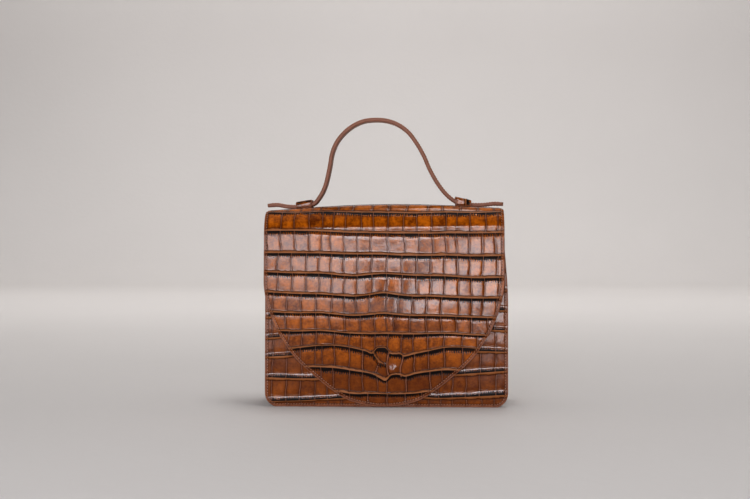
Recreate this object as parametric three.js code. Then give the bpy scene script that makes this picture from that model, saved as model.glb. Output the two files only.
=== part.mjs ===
// A small structured leather briefcase with a top handle.
//
// One long piece of embossed leather forms the back, folds over the top and hangs down the front
// as a flap whose lower edge is one deep round curve. A front panel and a channel-shaped gusset,
// with its edges turned outwards under the seams, close the body. The handle is a flat strap that
// lies through two leather loops on the roof and leaves a free tail beyond each of them.
//
// Millimetres, +Z up, front towards -Y. The origin is the middle of the footprint, on the ground.

import * as THREE from "three";

// Body
const bodyWidth = 245;
const baseDepth = 84; // between the outer faces of front and back, at the ground
const topDepth = 69; // the same, at the height of the roof
const roofHeight = 199.2; // of the roof at its two ends
const mouthHeight = 15; // the front panel ends this far below the roof
const panelTopInset = 4.5; // the front panel is narrower at its upper edge, on either side
const taperStart = 105; // height above which it narrows
const leather = 2.2; // front, back, roof and flap
const panelSwell = 3; // how far front and back stand out at their middle
const swellFloor = 6; // the swell begins above this height

// Gusset
const gussetLeather = 1.8;
const gussetCorner = 8; // bend of the gusset at the two lower corners
const seamAllowance = 6; // width of its turned edge, which is sewn to a panel
const sideOpening = 23; // the gusset ends this far below the roof
const foldDepth = 9; // how far the sides fold in at their upper edge
const foldLength = 95; // height over which that fold runs out

// Roof
const shoulderRadius = 14;
const roofRise = 5; // the roof arches up this much at its middle
const archSlenderness = 1.25; // 1 is a plain parabola, and more is slimmer towards its ends
const roofFlatEnd = 7.5; // length at either end of the roof that the arch leaves flat
const roofTilt = 1.3; // the right end stands this much above the middle, the left end below
const roofInset = 1.7; // the roof is narrower than the body by this much on either side
const upperDrift = -2.2; // roof, flap and handle sit a little to the left of the panels

// Flap
const flapInset = 0.8;
const flapGapTop = 5; // air between flap and front panel, at the roof
const flapGapTip = 2.2; // the same at the ground
const flapTipHeight = 0.9;
const flapStraight = 69; // from the roof down to where the round edge begins
const flapTipHalf = 7; // half-width of the last, nearly level stretch of the edge

// Handle
const strapWidth = 20;
const strapThickness = 3.6;
const strapEdgeRound = 0.8;
const tailInset = 1.5; // the tails end this far inside the body's width
const handleRise = 85; // of the arch above where the strap lies on the roof

// Loops over the strap
const loopLength = 16.5;
const loopLeather = 2;
const loopRound = 1.5;
const loopAir = 0.7; // play between the strap and the top of its loop

// Clasp
const claspRadius = 7;
const claspHeight = 42;

const sewnGap = 0.3; // between pieces that are sewn or lie on each other

// The round end of the flap, from the middle of its lower edge to its straight side: shares of
// the curve's height and of the flap's half-width.
const flapOutline = [
  { up: 0, half: 0 },
  { up: 0.037, half: 0.25 },
  { up: 0.11, half: 0.4 },
  { up: 0.217, half: 0.547 },
  { up: 0.354, half: 0.711 },
  { up: 0.49, half: 0.822 },
  { up: 0.631, half: 0.906 },
  { up: 0.831, half: 0.977 },
  { up: 1, half: 1 },
];

// The strap's line from left to right: `across` is a share of half its span, `up` a share of
// handleRise above where the strap would lie on the roof.
const strapLine = [
  { across: -1, up: 0.057 },
  { across: -0.92, up: 0.042 },
  { across: -0.84, up: 0.015 },
  { across: -0.76, up: 0 },
  { across: -0.68, up: 0 },
  { across: -0.605, up: 0.022 },
  { across: -0.553, up: 0.105 },
  { across: -0.51, up: 0.226 },
  { across: -0.472, up: 0.451 },
  { across: -0.45, up: 0.62 },
  { across: -0.407, up: 0.758 },
  { across: -0.34, up: 0.867 },
  { across: -0.26, up: 0.946 },
  { across: -0.172, up: 0.991 },
  { across: -0.07, up: 1 },
  { across: 0.017, up: 0.986 },
  { across: 0.105, up: 0.942 },
  { across: 0.193, up: 0.853 },
  { across: 0.266, up: 0.719 },
  { across: 0.325, up: 0.576 },
  { across: 0.383, up: 0.391 },
  { across: 0.456, up: 0.218 },
  { across: 0.529, up: 0.096 },
  { across: 0.61, up: 0.02 },
  { across: 0.68, up: 0 },
  { across: 0.76, up: 0 },
  { across: 0.84, up: 0.008 },
  { across: 0.92, up: 0.027 },
  { across: 1, up: 0.043 },
];

// The end of each loop that faces the middle of the roof: a share of half the strap's span.
const loops = [
  { name: "left_loop", inner: -0.62 },
  { name: "right_loop", inner: 0.595 },
];

// A side's fold across its depth, at its upper edge: `share` runs from the front seam to the back
// seam, and `inwards` is a share of foldDepth.
const foldSection = [
  { share: -1, inwards: 0 },
  { share: -0.5, inwards: 0.45 },
  { share: 0, inwards: 1 },
  { share: 0.5, inwards: 0.45 },
  { share: 1, inwards: 0 },
];

// How finely the leather is divided
const sheetColumns = 16;
const bendSteps = 6; // in a quarter turn
const strapSteps = 76;

const halfWidth = bodyWidth / 2;
const flapHalfWidth = halfWidth - flapInset;
const handleHalfSpan = halfWidth - tailInset;
const cornerRadius = gussetCorner + seamAllowance;
const panelHeight = roofHeight - mouthHeight;
const gussetHeight = roofHeight - sideOpening;
const flapCurveHeight = roofHeight - flapTipHeight - flapStraight;
const flapStandOff = flapGapTip + leather;
// The flap stands in front of the front panel, so the body sits back by half of that.
const bodyMiddle = flapStandOff / 2;

const clamp01 = (t) => Math.min(1, Math.max(0, t));
const smooth = (t) => clamp01(t) ** 2 * (3 - 2 * clamp01(t));
const softBump = (t) => Math.max(0, 1 - t * t) ** 2;
const steps = (from, to, count) =>
  Array.from({ length: count + 1 }, (_, i) => from + ((to - from) * i) / count);
const quarterTurn = (count = bendSteps) => steps(0, Math.PI / 2, count);

// Half the depth of the body between its outer faces at height z.
const halfDepth = (z) => (baseDepth + ((topDepth - baseDepth) * z) / roofHeight) / 2;

// Half the body's width at height z, with its round lower corners.
function bodyHalf(z) {
  const up = Math.max(0, cornerRadius - z);
  return halfWidth - cornerRadius + Math.sqrt(cornerRadius ** 2 - up ** 2);
}

const panelTaper = (z) => panelTopInset * smooth((z - taperStart) / (panelHeight - taperStart));
const panelHalf = (z) => bodyHalf(z) - panelTaper(z);

// How far front and back stand out at (x, z). It is nothing along the seams.
function swell(x, z) {
  const middle = (panelHeight + swellFloor) / 2;
  const reach = (panelHeight - swellFloor) / 2;
  const side = halfWidth - seamAllowance;
  return panelSwell * softBump(x / side) * softBump((z - middle) / reach);
}

// The wrap's outer line in the (y, z) plane, from the lower edge of the back, up, over the roof
// and down to the tip of the flap. Its two shoulders are arcs.
function wrapOutline() {
  const corners = [
    new THREE.Vector2(halfDepth(0), 0),
    new THREE.Vector2(halfDepth(roofHeight), roofHeight),
    new THREE.Vector2(-halfDepth(roofHeight) - flapGapTop - leather, roofHeight),
    new THREE.Vector2(-halfDepth(0) - flapStandOff, flapTipHeight),
  ];
  const path = new THREE.Path();
  path.moveTo(corners[0].x, corners[0].y);
  const arcEnds = [];
  for (const i of [1, 2]) {
    const into = corners[i].clone().sub(corners[i - 1]).normalize();
    const out = corners[i + 1].clone().sub(corners[i]).normalize();
    const turn = Math.acos(into.dot(out));
    const start = corners[i].clone().addScaledVector(into, -shoulderRadius * Math.tan(turn / 2));
    const centre = new THREE.Vector2(-into.y, into.x).multiplyScalar(shoulderRadius).add(start);
    const angle = Math.atan2(start.y - centre.y, start.x - centre.x);
    path.lineTo(start.x, start.y);
    arcEnds.push(path.getLength());
    path.absarc(centre.x, centre.y, shoulderRadius, angle, angle + turn, false);
    arcEnds.push(path.getLength());
  }
  path.lineTo(corners[3].x, corners[3].y);
  return { path, arcEnds, length: path.getLength() };
}

const outline = wrapOutline();
const [backShoulder, roofBack, roofFront, frontShoulder] = outline.arcEnds;
const roofMiddle = (roofBack + roofFront) / 2;
const roofReach = (frontShoulder - backShoulder) / 2;

// How far the roof's arch lifts the leather, at x from its own middle and s along the wrap.
function roofLift(x, s) {
  const arch = Math.max(0, 1 - (x / (halfWidth - roofFlatEnd)) ** 2) ** archSlenderness;
  return roofRise * arch * softBump((s - roofMiddle) / roofReach);
}

// A point of the wrap's outer face, x from its own middle and s along it.
function wrapPoint(x, s) {
  const along = clamp01(s / outline.length);
  const p = outline.path.getPoint(along);
  const tangent = outline.path.getTangent(along);
  const out = roofLift(x, s) + swell(x, p.y);
  const tilt = roofTilt * (x / halfWidth) * smooth(p.y / roofHeight);
  return new THREE.Vector3(
    x + upperDrift * smooth(s / roofMiddle),
    bodyMiddle + p.x + tangent.y * out,
    p.y - tangent.x * out + tilt,
  );
}

// The roof's outer face at x from its middle and y from its middle line.
const roofPoint = (x, y) => wrapPoint(x, roofMiddle - y);

// Half the width of the back and of the roof, and of the flap above its round end.
function wrapHalf(s) {
  const toRoof = smooth(s / roofMiddle);
  const toFlap = smooth((s - roofMiddle) / roofMiddle);
  return bodyHalf(s) - roofInset * toRoof + (roofInset - flapInset) * toFlap;
}

// A point of the front panel's outer face, with s measured down from its upper edge.
function panelPoint(x, s) {
  const z = panelHeight - s;
  return new THREE.Vector3(x, bodyMiddle - halfDepth(z) - swell(x, z), z);
}

// The outward normal of a face given by a function of x and s.
function faceNormal(face, x, s) {
  const step = 0.05;
  const across = face(x + step, s).sub(face(x - step, s));
  const along = face(x, s + step).sub(face(x, s - step));
  return along.cross(across).normalize();
}

function meshGeometry(points, triangles) {
  const geometry = new THREE.BufferGeometry();
  geometry.setAttribute(
    "position",
    new THREE.Float32BufferAttribute(points.flatMap((p) => [p.x, p.y, p.z]), 3),
  );
  geometry.setIndex(triangles.flat());
  geometry.computeVertexNormals();
  return geometry;
}

// A closed sheet of leather under an outer face. Each row says where along the face it lies and
// how wide the leather is there. Edges that would dip below the ground are trimmed level with it.
function leatherSheet(face, rows) {
  const points = [];
  for (const depth of [0, leather]) {
    for (const { s, half } of rows) {
      for (const share of steps(-1, 1, sheetColumns)) {
        const point = face(half * share, s);
        point.addScaledVector(faceNormal(face, half * share, s), -depth);
        point.z = Math.max(0, point.z);
        points.push(point);
      }
    }
  }
  const wide = sheetColumns + 1;
  const inner = rows.length * wide;
  const triangles = [];
  const quad = (a, b, c, d) => triangles.push([a, b, c], [a, c, d]);
  for (let i = 0; i < rows.length - 1; i++) {
    const left = i * wide;
    const right = left + sheetColumns;
    for (let a = left; a < right; a++) {
      quad(a, a + wide, a + wide + 1, a + 1);
      quad(inner + a, inner + a + 1, inner + a + wide + 1, inner + a + wide);
    }
    quad(left + wide, left, inner + left, inner + left + wide);
    quad(right, right + wide, inner + right + wide, inner + right);
  }
  for (let j = 0; j < sheetColumns; j++) {
    const last = inner - wide + j;
    quad(j, j + 1, inner + j + 1, inner + j);
    quad(last + 1, last, inner + last, inner + last + 1);
  }
  return meshGeometry(points, triangles);
}

// A solid carried through closed rings of equally many points, with flat ends. The rings run
// anticlockwise seen from ahead, and `flatten` gives a point's place in the first ring's plane.
function loft(rings, flatten) {
  const count = rings[0].length;
  const triangles = [];
  for (let start = 0; start < (rings.length - 1) * count; start += count) {
    for (let j = 0; j < count; j++) {
      const a = start + j;
      const b = start + ((j + 1) % count);
      triangles.push([a, b, b + count], [a, b + count, a + count]);
    }
  }
  const end = (rings.length - 1) * count;
  for (const [a, b, c] of THREE.ShapeUtils.triangulateShape(rings[0].map(flatten), [])) {
    triangles.push([c, b, a], [end + a, end + b, end + c]);
  }
  return meshGeometry(rings.flat(), triangles);
}

// Back, roof and flap: one piece of leather.
function flapAndBack() {
  const flapEdge = new THREE.SplineCurve([
    ...flapOutline.slice(1).reverse().map(({ up, half }) => new THREE.Vector2(-half, up)),
    ...flapOutline.map(({ up, half }) => new THREE.Vector2(half, up)),
  ]);
  const curveStart = outline.length - flapCurveHeight;
  const cornerRows = quarterTurn().map((t) => cornerRadius * (1 - Math.cos(t)));
  const straightRows = [
    ...cornerRows,
    ...steps(cornerRadius, backShoulder, 7).slice(1),
    ...steps(backShoulder, roofBack, bendSteps).slice(1),
    ...steps(roofBack, roofFront, 4).slice(1),
    ...steps(roofFront, frontShoulder, bendSteps).slice(1),
    ...steps(frontShoulder, curveStart, 3).slice(1),
  ];
  const roundRows = steps(1, 0.5, 20).map((t) => flapEdge.getPoint(t));
  const rows = [
    ...straightRows.map((s) => ({ s, half: wrapHalf(s) })),
    ...roundRows.slice(1).map(({ x, y }) => ({
      s: outline.length - flapCurveHeight * y,
      half: Math.max(flapTipHalf, flapHalfWidth * x),
    })),
  ];
  return leatherSheet(wrapPoint, rows);
}

function frontPanel() {
  const bend = panelHeight - cornerRadius;
  const rows = [
    ...steps(0, bend, 8),
    ...quarterTurn().slice(1).map((t) => bend + cornerRadius * Math.sin(t)),
  ];
  return leatherSheet(
    panelPoint,
    rows.map((s) => ({ s, half: panelHalf(panelHeight - s) })),
  );
}

// Both sides and the bottom: a channel whose edges turn outwards under the front and back seams.
// The sides are folded in a little towards their upper edge.
function gusset() {
  const web = halfWidth - seamAllowance;
  const left = [
    ...steps(gussetHeight, cornerRadius, 9).map((z) => ({
      x: panelTaper(z) - web,
      z,
      outX: -1,
      outZ: 0,
    })),
    ...quarterTurn()
      .slice(1)
      .map((t) => ({
        x: -web + gussetCorner * (1 - Math.cos(t)),
        z: cornerRadius - gussetCorner * Math.sin(t),
        outX: -Math.cos(t),
        outZ: -Math.sin(t),
      })),
  ];
  const right = left.toReversed().map((s) => ({ ...s, x: -s.x, outX: -s.outX }));
  const rings = [...left, ...right].map(({ x, z, outX, outZ }) => {
    const fold = foldDepth * smooth(1 - (gussetHeight - z) / foldLength);
    // `out` is measured outwards from the web, `share` from the middle towards front and back.
    const place = (out, share, inset) => {
      const height = z + outZ * out;
      const reach = halfDepth(height) - leather - sewnGap - inset;
      return new THREE.Vector3(x + outX * out, bodyMiddle + share * reach, height);
    };
    const t = gussetLeather;
    const backSeam = seamAllowance + wrapHalf(z) - panelHalf(z);
    return [
      place(seamAllowance, -1, 0),
      place(seamAllowance, -1, t),
      ...foldSection.map(({ share, inwards }) => place(-fold * inwards, share, t)),
      place(backSeam, 1, t),
      place(backSeam, 1, 0),
      ...foldSection
        .toReversed()
        .map(({ share, inwards }) => place(-t - fold * inwards, share, 0)),
    ];
  });
  return loft(rings, (p) => new THREE.Vector2(p.y, p.x));
}

// The strap's centre line, from the left tail to the right one.
const strapY = roofPoint(0, 0).y;
const strapPath = new THREE.CatmullRomCurve3(
  strapLine.map(({ across, up }) => {
    const seat = roofPoint(across * handleHalfSpan, 0);
    const lift = sewnGap + strapThickness / 2 + up * handleRise;
    return new THREE.Vector3(seat.x, strapY, seat.z + lift);
  }),
);

// The handle: the strap's side outline, drawn out over its width, with rounded edges.
function handle() {
  const half = strapThickness / 2 - strapEdgeRound;
  const side = (offset) =>
    steps(0, 1, strapSteps).map((u) => {
      const p = strapPath.getPointAt(u);
      const tangent = strapPath.getTangentAt(u);
      return new THREE.Vector2(p.x - tangent.z * offset, p.z + tangent.x * offset);
    });
  const shape = new THREE.Shape([...side(-half), ...side(half).reverse()]);
  const depth = strapWidth - 2 * strapEdgeRound;
  const geometry = new THREE.ExtrudeGeometry(shape, {
    depth,
    bevelThickness: strapEdgeRound,
    bevelSize: strapEdgeRound,
    bevelSegments: 2,
  });
  geometry.translate(0, 0, -depth / 2);
  geometry.rotateX(Math.PI / 2);
  geometry.translate(0, strapY, 0);
  return geometry;
}

// The height of the strap's upper face at x.
function strapTop(x) {
  let low = 0;
  let high = 1;
  while (high - low > 1e-6) {
    const middle = (low + high) / 2;
    if (strapPath.getPointAt(middle).x < x) low = middle;
    else high = middle;
  }
  return strapPath.getPointAt(low).z + strapThickness / 2 / strapPath.getTangentAt(low).x;
}

// A leather loop that stands on the roof astride the strap and slopes as the strap does.
function strapLoop(inner) {
  const near = inner * handleHalfSpan;
  const far = near + Math.sign(inner) * loopLength;
  const inside = strapWidth / 2 + sewnGap;
  const outside = inside + loopLeather;
  const [from, to] = [near, far].sort((a, b) => a - b);
  const ends = [from, to].map((x) => strapTop(x + upperDrift) + sewnGap + loopAir);
  const rings = steps(0, 1, 4).map((along) => {
    const x = from + (to - from) * along;
    const ceiling = ends[0] + (ends[1] - ends[0]) * along;
    const top = ceiling + loopLeather;
    const place = (y, z) => new THREE.Vector3(x + upperDrift, strapY + y, z);
    const foot = (y) => place(y, roofPoint(x, y).z + sewnGap);
    const corner = (side) => (t) =>
      place(
        side * (outside - loopRound * (1 - Math.cos(t))),
        top - loopRound * (1 - Math.sin(t)),
      );
    return [
      foot(outside),
      ...quarterTurn(3).map(corner(1)),
      ...quarterTurn(3).reverse().map(corner(-1)),
      foot(-outside),
      foot(-inside),
      place(-inside, ceiling),
      place(inside, ceiling),
      foot(inside),
    ];
  });
  return loft(rings, (p) => new THREE.Vector2(p.y, p.z));
}

// The hidden fastener: a plain disc that fills the space between front panel and flap.
function clasp() {
  const fromTop = panelHeight - claspHeight;
  const seat = panelPoint(0, fromTop);
  const normal = faceNormal(panelPoint, 0, fromTop);
  const flapFace = wrapPoint(-upperDrift, outline.length - (claspHeight - flapTipHeight));
  const thickness = seat.y - flapFace.y - leather - 2 * sewnGap;
  const geometry = new THREE.CylinderGeometry(claspRadius, claspRadius, thickness, 32);
  geometry.translate(0, sewnGap + thickness / 2, 0);
  geometry.applyQuaternion(
    new THREE.Quaternion().setFromUnitVectors(new THREE.Vector3(0, 1, 0), normal),
  );
  geometry.translate(seat.x, seat.y, seat.z);
  return geometry;
}

const embossedLeather = new THREE.MeshStandardMaterial({ color: 0x8a4517, roughness: 0.3 });
const gussetFinish = new THREE.MeshStandardMaterial({ color: 0x7a3c16, roughness: 0.35 });
const strapLeather = new THREE.MeshStandardMaterial({ color: 0x8c5f50, roughness: 0.5 });
const claspMetal = new THREE.MeshStandardMaterial({
  color: 0xb08d57,
  roughness: 0.3,
  metalness: 1,
});

const briefcase = new THREE.Group();

function addPiece(name, geometry, material) {
  const mesh = new THREE.Mesh(geometry, material);
  mesh.name = name;
  briefcase.add(mesh);
}

addPiece("flap_and_back", flapAndBack(), embossedLeather);
addPiece("front_panel", frontPanel(), embossedLeather);
addPiece("gusset", gusset(), gussetFinish);
addPiece("handle", handle(), strapLeather);
for (const { name, inner } of loops) addPiece(name, strapLoop(inner), embossedLeather);
addPiece("clasp", clasp(), claspMetal);

export default briefcase;
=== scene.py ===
"""Looks of a small structured briefcase of embossed leather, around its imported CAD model.

Sizes are in millimetres, as in the CAD source, and put_mesh turns them into metres. Camera and
lights are placed in metres.
"""

import math

import bpy
import numpy as np
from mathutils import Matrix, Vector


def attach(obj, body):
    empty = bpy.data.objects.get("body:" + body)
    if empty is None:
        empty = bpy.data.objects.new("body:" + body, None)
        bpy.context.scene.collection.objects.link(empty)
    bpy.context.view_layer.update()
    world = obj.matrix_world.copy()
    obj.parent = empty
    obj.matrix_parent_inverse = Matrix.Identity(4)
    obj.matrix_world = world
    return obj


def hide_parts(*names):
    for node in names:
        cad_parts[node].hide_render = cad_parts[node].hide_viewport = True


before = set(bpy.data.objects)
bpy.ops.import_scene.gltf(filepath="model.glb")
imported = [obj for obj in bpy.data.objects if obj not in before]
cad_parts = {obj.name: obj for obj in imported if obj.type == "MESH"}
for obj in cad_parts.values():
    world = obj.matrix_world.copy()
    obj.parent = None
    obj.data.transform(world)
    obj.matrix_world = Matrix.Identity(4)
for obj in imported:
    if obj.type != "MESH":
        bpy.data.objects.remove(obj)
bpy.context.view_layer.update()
scene = bpy.context.scene
MM = 0.001


# Camera
# It stands 1.5 m in front of the bag, just below the height of its roof and a little to the
# right, and looks slightly down.

lens = 72.0
sensor = 36.0
eye = (0.052, -1.545, 0.179)
look_left = math.radians(2.40)
look_down = math.radians(0.783)

camera = bpy.data.objects.new("camera", bpy.data.cameras.new("camera"))
camera.data.lens = lens
camera.data.sensor_width = sensor
camera.data.clip_start = 0.05
camera.location = eye
camera.rotation_euler = (math.pi / 2 - look_down, 0, look_left)
scene.collection.objects.link(camera)
scene.camera = camera


# Floor and wall
# A pale matt floor that bends up into a pale wall, both of painted plaster. They are the stage.


class Wire:
    """An output of a node. Arithmetic on it adds the Math nodes that it stands for."""

    def __init__(self, finish, socket):
        self.finish = finish
        self.socket = socket

    def math(self, operation, *values):
        return self.finish.node(
            "ShaderNodeMath", {"operation": operation}, dict(enumerate(values))
        )

    def __add__(self, other):
        return self.math("ADD", self, other)

    __radd__ = __add__

    def __sub__(self, other):
        return self.math("SUBTRACT", self, other)

    def __rsub__(self, other):
        return self.math("SUBTRACT", other, self)

    def __mul__(self, other):
        return self.math("MULTIPLY", self, other)

    __rmul__ = __mul__

    def __truediv__(self, other):
        return self.math("DIVIDE", self, other)

    def __rtruediv__(self, other):
        return self.math("DIVIDE", other, self)

    def __abs__(self):
        return self.math("ABSOLUTE", self)

    def part(self):
        """What stands after the decimal point."""
        return self.math("FRACT", self)

    def whole(self):
        return self.math("FLOOR", self)

    def least(self, other):
        return self.math("MINIMUM", self, other)

    def rise(self, low, high):
        """0 at `low` and 1 at `high`, smooth between them, whichever of the two is greater."""
        return self.finish.node(
            "ShaderNodeMapRange",
            {"interpolation_type": "SMOOTHSTEP"},
            {"Value": self, "From Min": low, "From Max": high},
        )

    def blend(self, first, second):
        """The first colour where this is 0, the second where it is 1."""
        return self.finish.node(
            "ShaderNodeMix", {"data_type": "RGBA"}, {0: self, 6: first, 7: second}, 2
        )

    def axes(self):
        """The three numbers of a vector."""
        split = self.finish.node("ShaderNodeSeparateXYZ", {}, {0: self}).socket.node
        return [Wire(self.finish, out) for out in split.outputs]


class Finish:
    """A material. `node` adds any node to it, and `wear` sets or links the shader's sockets."""

    def __init__(self, name):
        self.material = bpy.data.materials.new(name)
        self.material.use_nodes = True
        self.tree = self.material.node_tree
        self.shader = self.tree.nodes["Principled BSDF"]

    def join(self, socket, value):
        if isinstance(value, Wire):
            self.tree.links.new(value.socket, socket)
        elif socket.type == "RGBA":
            socket.default_value = (*value, 1.0)
        else:
            socket.default_value = value

    def node(self, kind, settings, inputs, output=0):
        made = self.tree.nodes.new(kind)
        for key, value in settings.items():
            setattr(made, key, value)
        for key, value in inputs.items():
            self.join(made.inputs[key], value)
        return Wire(self, made.outputs[output])

    def noise(self, place, scale, detail=2.0):
        return self.node(
            "ShaderNodeTexNoise", {}, {"Vector": place, "Scale": scale, "Detail": detail}
        )

    def object_place(self):
        return self.node("ShaderNodeTexCoord", {}, {}, "Object")

    def bump(self, height, depth):
        """Relief of `depth` metres for a height from 0 to 1."""
        return self.node(
            "ShaderNodeBump", {}, {"Height": height, "Distance": depth, "Strength": 1.0}
        )

    def wear(self, **sockets):
        for name, value in sockets.items():
            self.join(self.shader.inputs[name.replace("_", " ")], value)


def linear(red, green, blue):
    """The linear colour of one given from 0 to 255 as a screen shows it."""
    shown = np.array([red, green, blue]) / 255
    curved = ((shown + 0.055) / 1.055) ** 2.4
    return tuple(float(c) for c in np.where(shown < 0.04045, shown / 12.92, curved))


def put_mesh(name, points, faces, materials, looks=None, maps=None):
    """A mesh object from points in millimetres and lists of faces.

    `looks` gives each face its material, and `maps` holds arrays with one row for each corner:
    "flat" becomes the UV map, and any other name a vector attribute.
    """
    mesh = bpy.data.meshes.new(name)
    mesh.from_pydata((np.asarray(points) * MM).tolist(), [], faces)
    for material in materials:
        mesh.materials.append(material)
    if looks is not None:
        mesh.polygons.foreach_set("material_index", np.asarray(looks, np.int32))
    for key, rows in (maps or {}).items():
        if key == "flat":
            layer = mesh.uv_layers.new(name=key)
            layer.uv.foreach_set("vector", np.asarray(rows, np.float32).ravel())
        else:
            layer = mesh.attributes.new(key, "FLOAT_VECTOR", "CORNER")
            layer.data.foreach_set("vector", np.asarray(rows, np.float32).ravel())
    mesh.polygons.foreach_set("use_smooth", np.ones(len(mesh.polygons), bool))
    mesh.update()
    made = bpy.data.objects.new(name, mesh)
    scene.collection.objects.link(made)
    return made


def grid_faces(rows, columns, first=0, flip=False):
    """The quads of a grid of rows x columns points that starts at index `first`."""
    a = first + (np.arange(rows - 1)[:, None] * columns + np.arange(columns - 1)).ravel()
    ring = np.stack([a, a + columns, a + columns + 1, a + 1], 1)
    return ring[:, ::-1] if flip else ring


plaster = Finish("plaster")
plaster_place = plaster.object_place()
plaster_tone = plaster.noise(plaster_place, 1.5, 3.0)
plaster.wear(
    Base_Color=plaster_tone.blend(linear(208, 203, 200), linear(215, 210, 207)),
    Roughness=0.75,
    Normal=plaster.bump(plaster.noise(plaster_place, 60.0, 4.0), 0.0004),
)

# The floor's line in the (y, z) plane: level, then a quarter bend, then upright.
floor_front = -3500.0
floor_half_width = 4500.0
bend_start = 3200.0
bend_radius = 900.0
wall_top = 4200.0
bend_turn = np.linspace(0, math.pi / 2, 17)
bend_y = bend_start + bend_radius * np.sin(bend_turn)
sweep_y = np.r_[floor_front, 0.0, bend_y, bend_start + bend_radius]
sweep_z = np.r_[0.0, 0.0, bend_radius * (1 - np.cos(bend_turn)), wall_top]
sweep_x = np.linspace(-floor_half_width, floor_half_width, 9)
sweep = np.stack(np.broadcast_arrays(sweep_x, sweep_y[:, None], sweep_z[:, None]), -1)
floor = put_mesh(
    "floor",
    sweep.reshape(-1, 3),
    grid_faces(len(sweep_y), len(sweep_x), flip=True).tolist(),
    [plaster.material],
)


# Lights
# The room is dark at eye level and bright overhead. Four soft panels behind the camera show as
# pale patches in the glossy leather. One hangs above the bag and one lights the wall.

world = bpy.data.worlds.new("room")
world.use_nodes = True
room = world.node_tree
background = room.nodes["Background"]
towards = room.nodes.new("ShaderNodeTexCoord")
split = room.nodes.new("ShaderNodeSeparateXYZ")
overhead = room.nodes.new("ShaderNodeMapRange")
overhead.interpolation_type = "SMOOTHSTEP"
for socket_name, value in (
    ("From Min", 0.5), ("From Max", 0.98), ("To Min", 0.02), ("To Max", 0.67)
):
    overhead.inputs[socket_name].default_value = value
room.links.new(towards.outputs["Generated"], split.inputs[0])
room.links.new(split.outputs["Z"], overhead.inputs["Value"])
room.links.new(overhead.outputs[0], background.inputs["Strength"])
background.inputs["Color"].default_value = (1.0, 1.0, 1.0, 1)
scene.world = world
scene.view_settings.view_transform = "Standard"
scene.view_settings.look = "Medium High Contrast"


def soft_panel(name, place, aim, width, height, power, colour=(1.0, 1.0, 1.0)):
    """A rectangular area light of `power` watts that faces the point `aim`, in metres."""
    lamp = bpy.data.lights.new(name, "AREA")
    lamp.shape = "RECTANGLE"
    lamp.size = width
    lamp.size_y = height
    lamp.energy = power
    lamp.color = colour
    panel = bpy.data.objects.new(name, lamp)
    panel.location = place
    panel.rotation_euler = (Vector(aim) - Vector(place)).to_track_quat("-Z", "Y").to_euler()
    scene.collection.objects.link(panel)


window_white = (0.96, 0.98, 1.05)
bag_middle = (0, 0, 0.14)
panels_y = -2.2
for light_name, light_x, light_z, light_width, light_height, watts in (
    ("left_panel", -0.78, 0.3, 1.24, 0.22, 12.2),
    ("right_panel", 0.17, 0.22, 0.26, 0.24, 3.7),
    ("middle_panel", -0.08, 0.51, 0.86, 0.16, 11.0),
    ("low_panel", -0.16, 0.115, 1.0, 0.11, 1.7),
):
    light_place = (light_x, panels_y, light_z)
    soft_panel(light_name, light_place, bag_middle, light_width, light_height, watts, window_white)
soft_panel("upper_panel", (0.25, 0.1, 2.2), (0, 0.0, 0.1), 1.6, 0.45, 13.0)
soft_panel("wall_panel", (0.0, 1.6, 2.6), (-0.1, 4.1, 1.0), 3.0, 1.0, 58.0)


# Back, roof and flap
# One long piece of glossy calf, embossed with rows of large scales: it forms the back, folds over
# the top and hangs down the front as the flap. Its cut edge is painted and stitched all round.

body_width = 245.0
base_depth = 84.0
top_depth = 69.0
roof_height = 199.2
leather = 2.2
panel_swell = 3.0
swell_floor = 6.0
mouth_height = 15.0
panel_top_inset = 4.5
taper_start = 105.0
corner_radius = 14.0
seam_allowance = 6.0
back_shoulder_radius = 14.0
front_shoulder_radius = 20.0
roof_rise = 5.0
arch_slenderness = 1.25
roof_flat_end = 7.5
roof_tilt = 1.3
roof_inset = 1.7
roof_corner = 115.0
roof_corner_drop = 2.6
corner_drop_from = 165.0
corner_drop_over = 30.0
upper_drift = -2.2
flap_inset = 0.8
flap_gap_top = 5.0
flap_gap_tip = 2.2
flap_tip_height = 0.9
flap_straight = 69.0
flap_tip_half = 7.0
edge_round = 0.4
sewn_gap = 0.3

half_width = body_width / 2
panel_height = roof_height - mouth_height
flap_stand_off = flap_gap_tip + leather
body_middle = flap_stand_off / 2
flap_curve_height = roof_height - flap_tip_height - flap_straight
flap_half_width = half_width - flap_inset

# The flap's round edge: shares of its height and of the flap's half-width, from the tip upwards.
flap_outline_up = np.array([0, 0.037, 0.11, 0.217, 0.354, 0.49, 0.631, 0.831, 1])
flap_outline_half = np.array([0, 0.25, 0.4, 0.547, 0.711, 0.822, 0.906, 0.977, 1])

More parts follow.
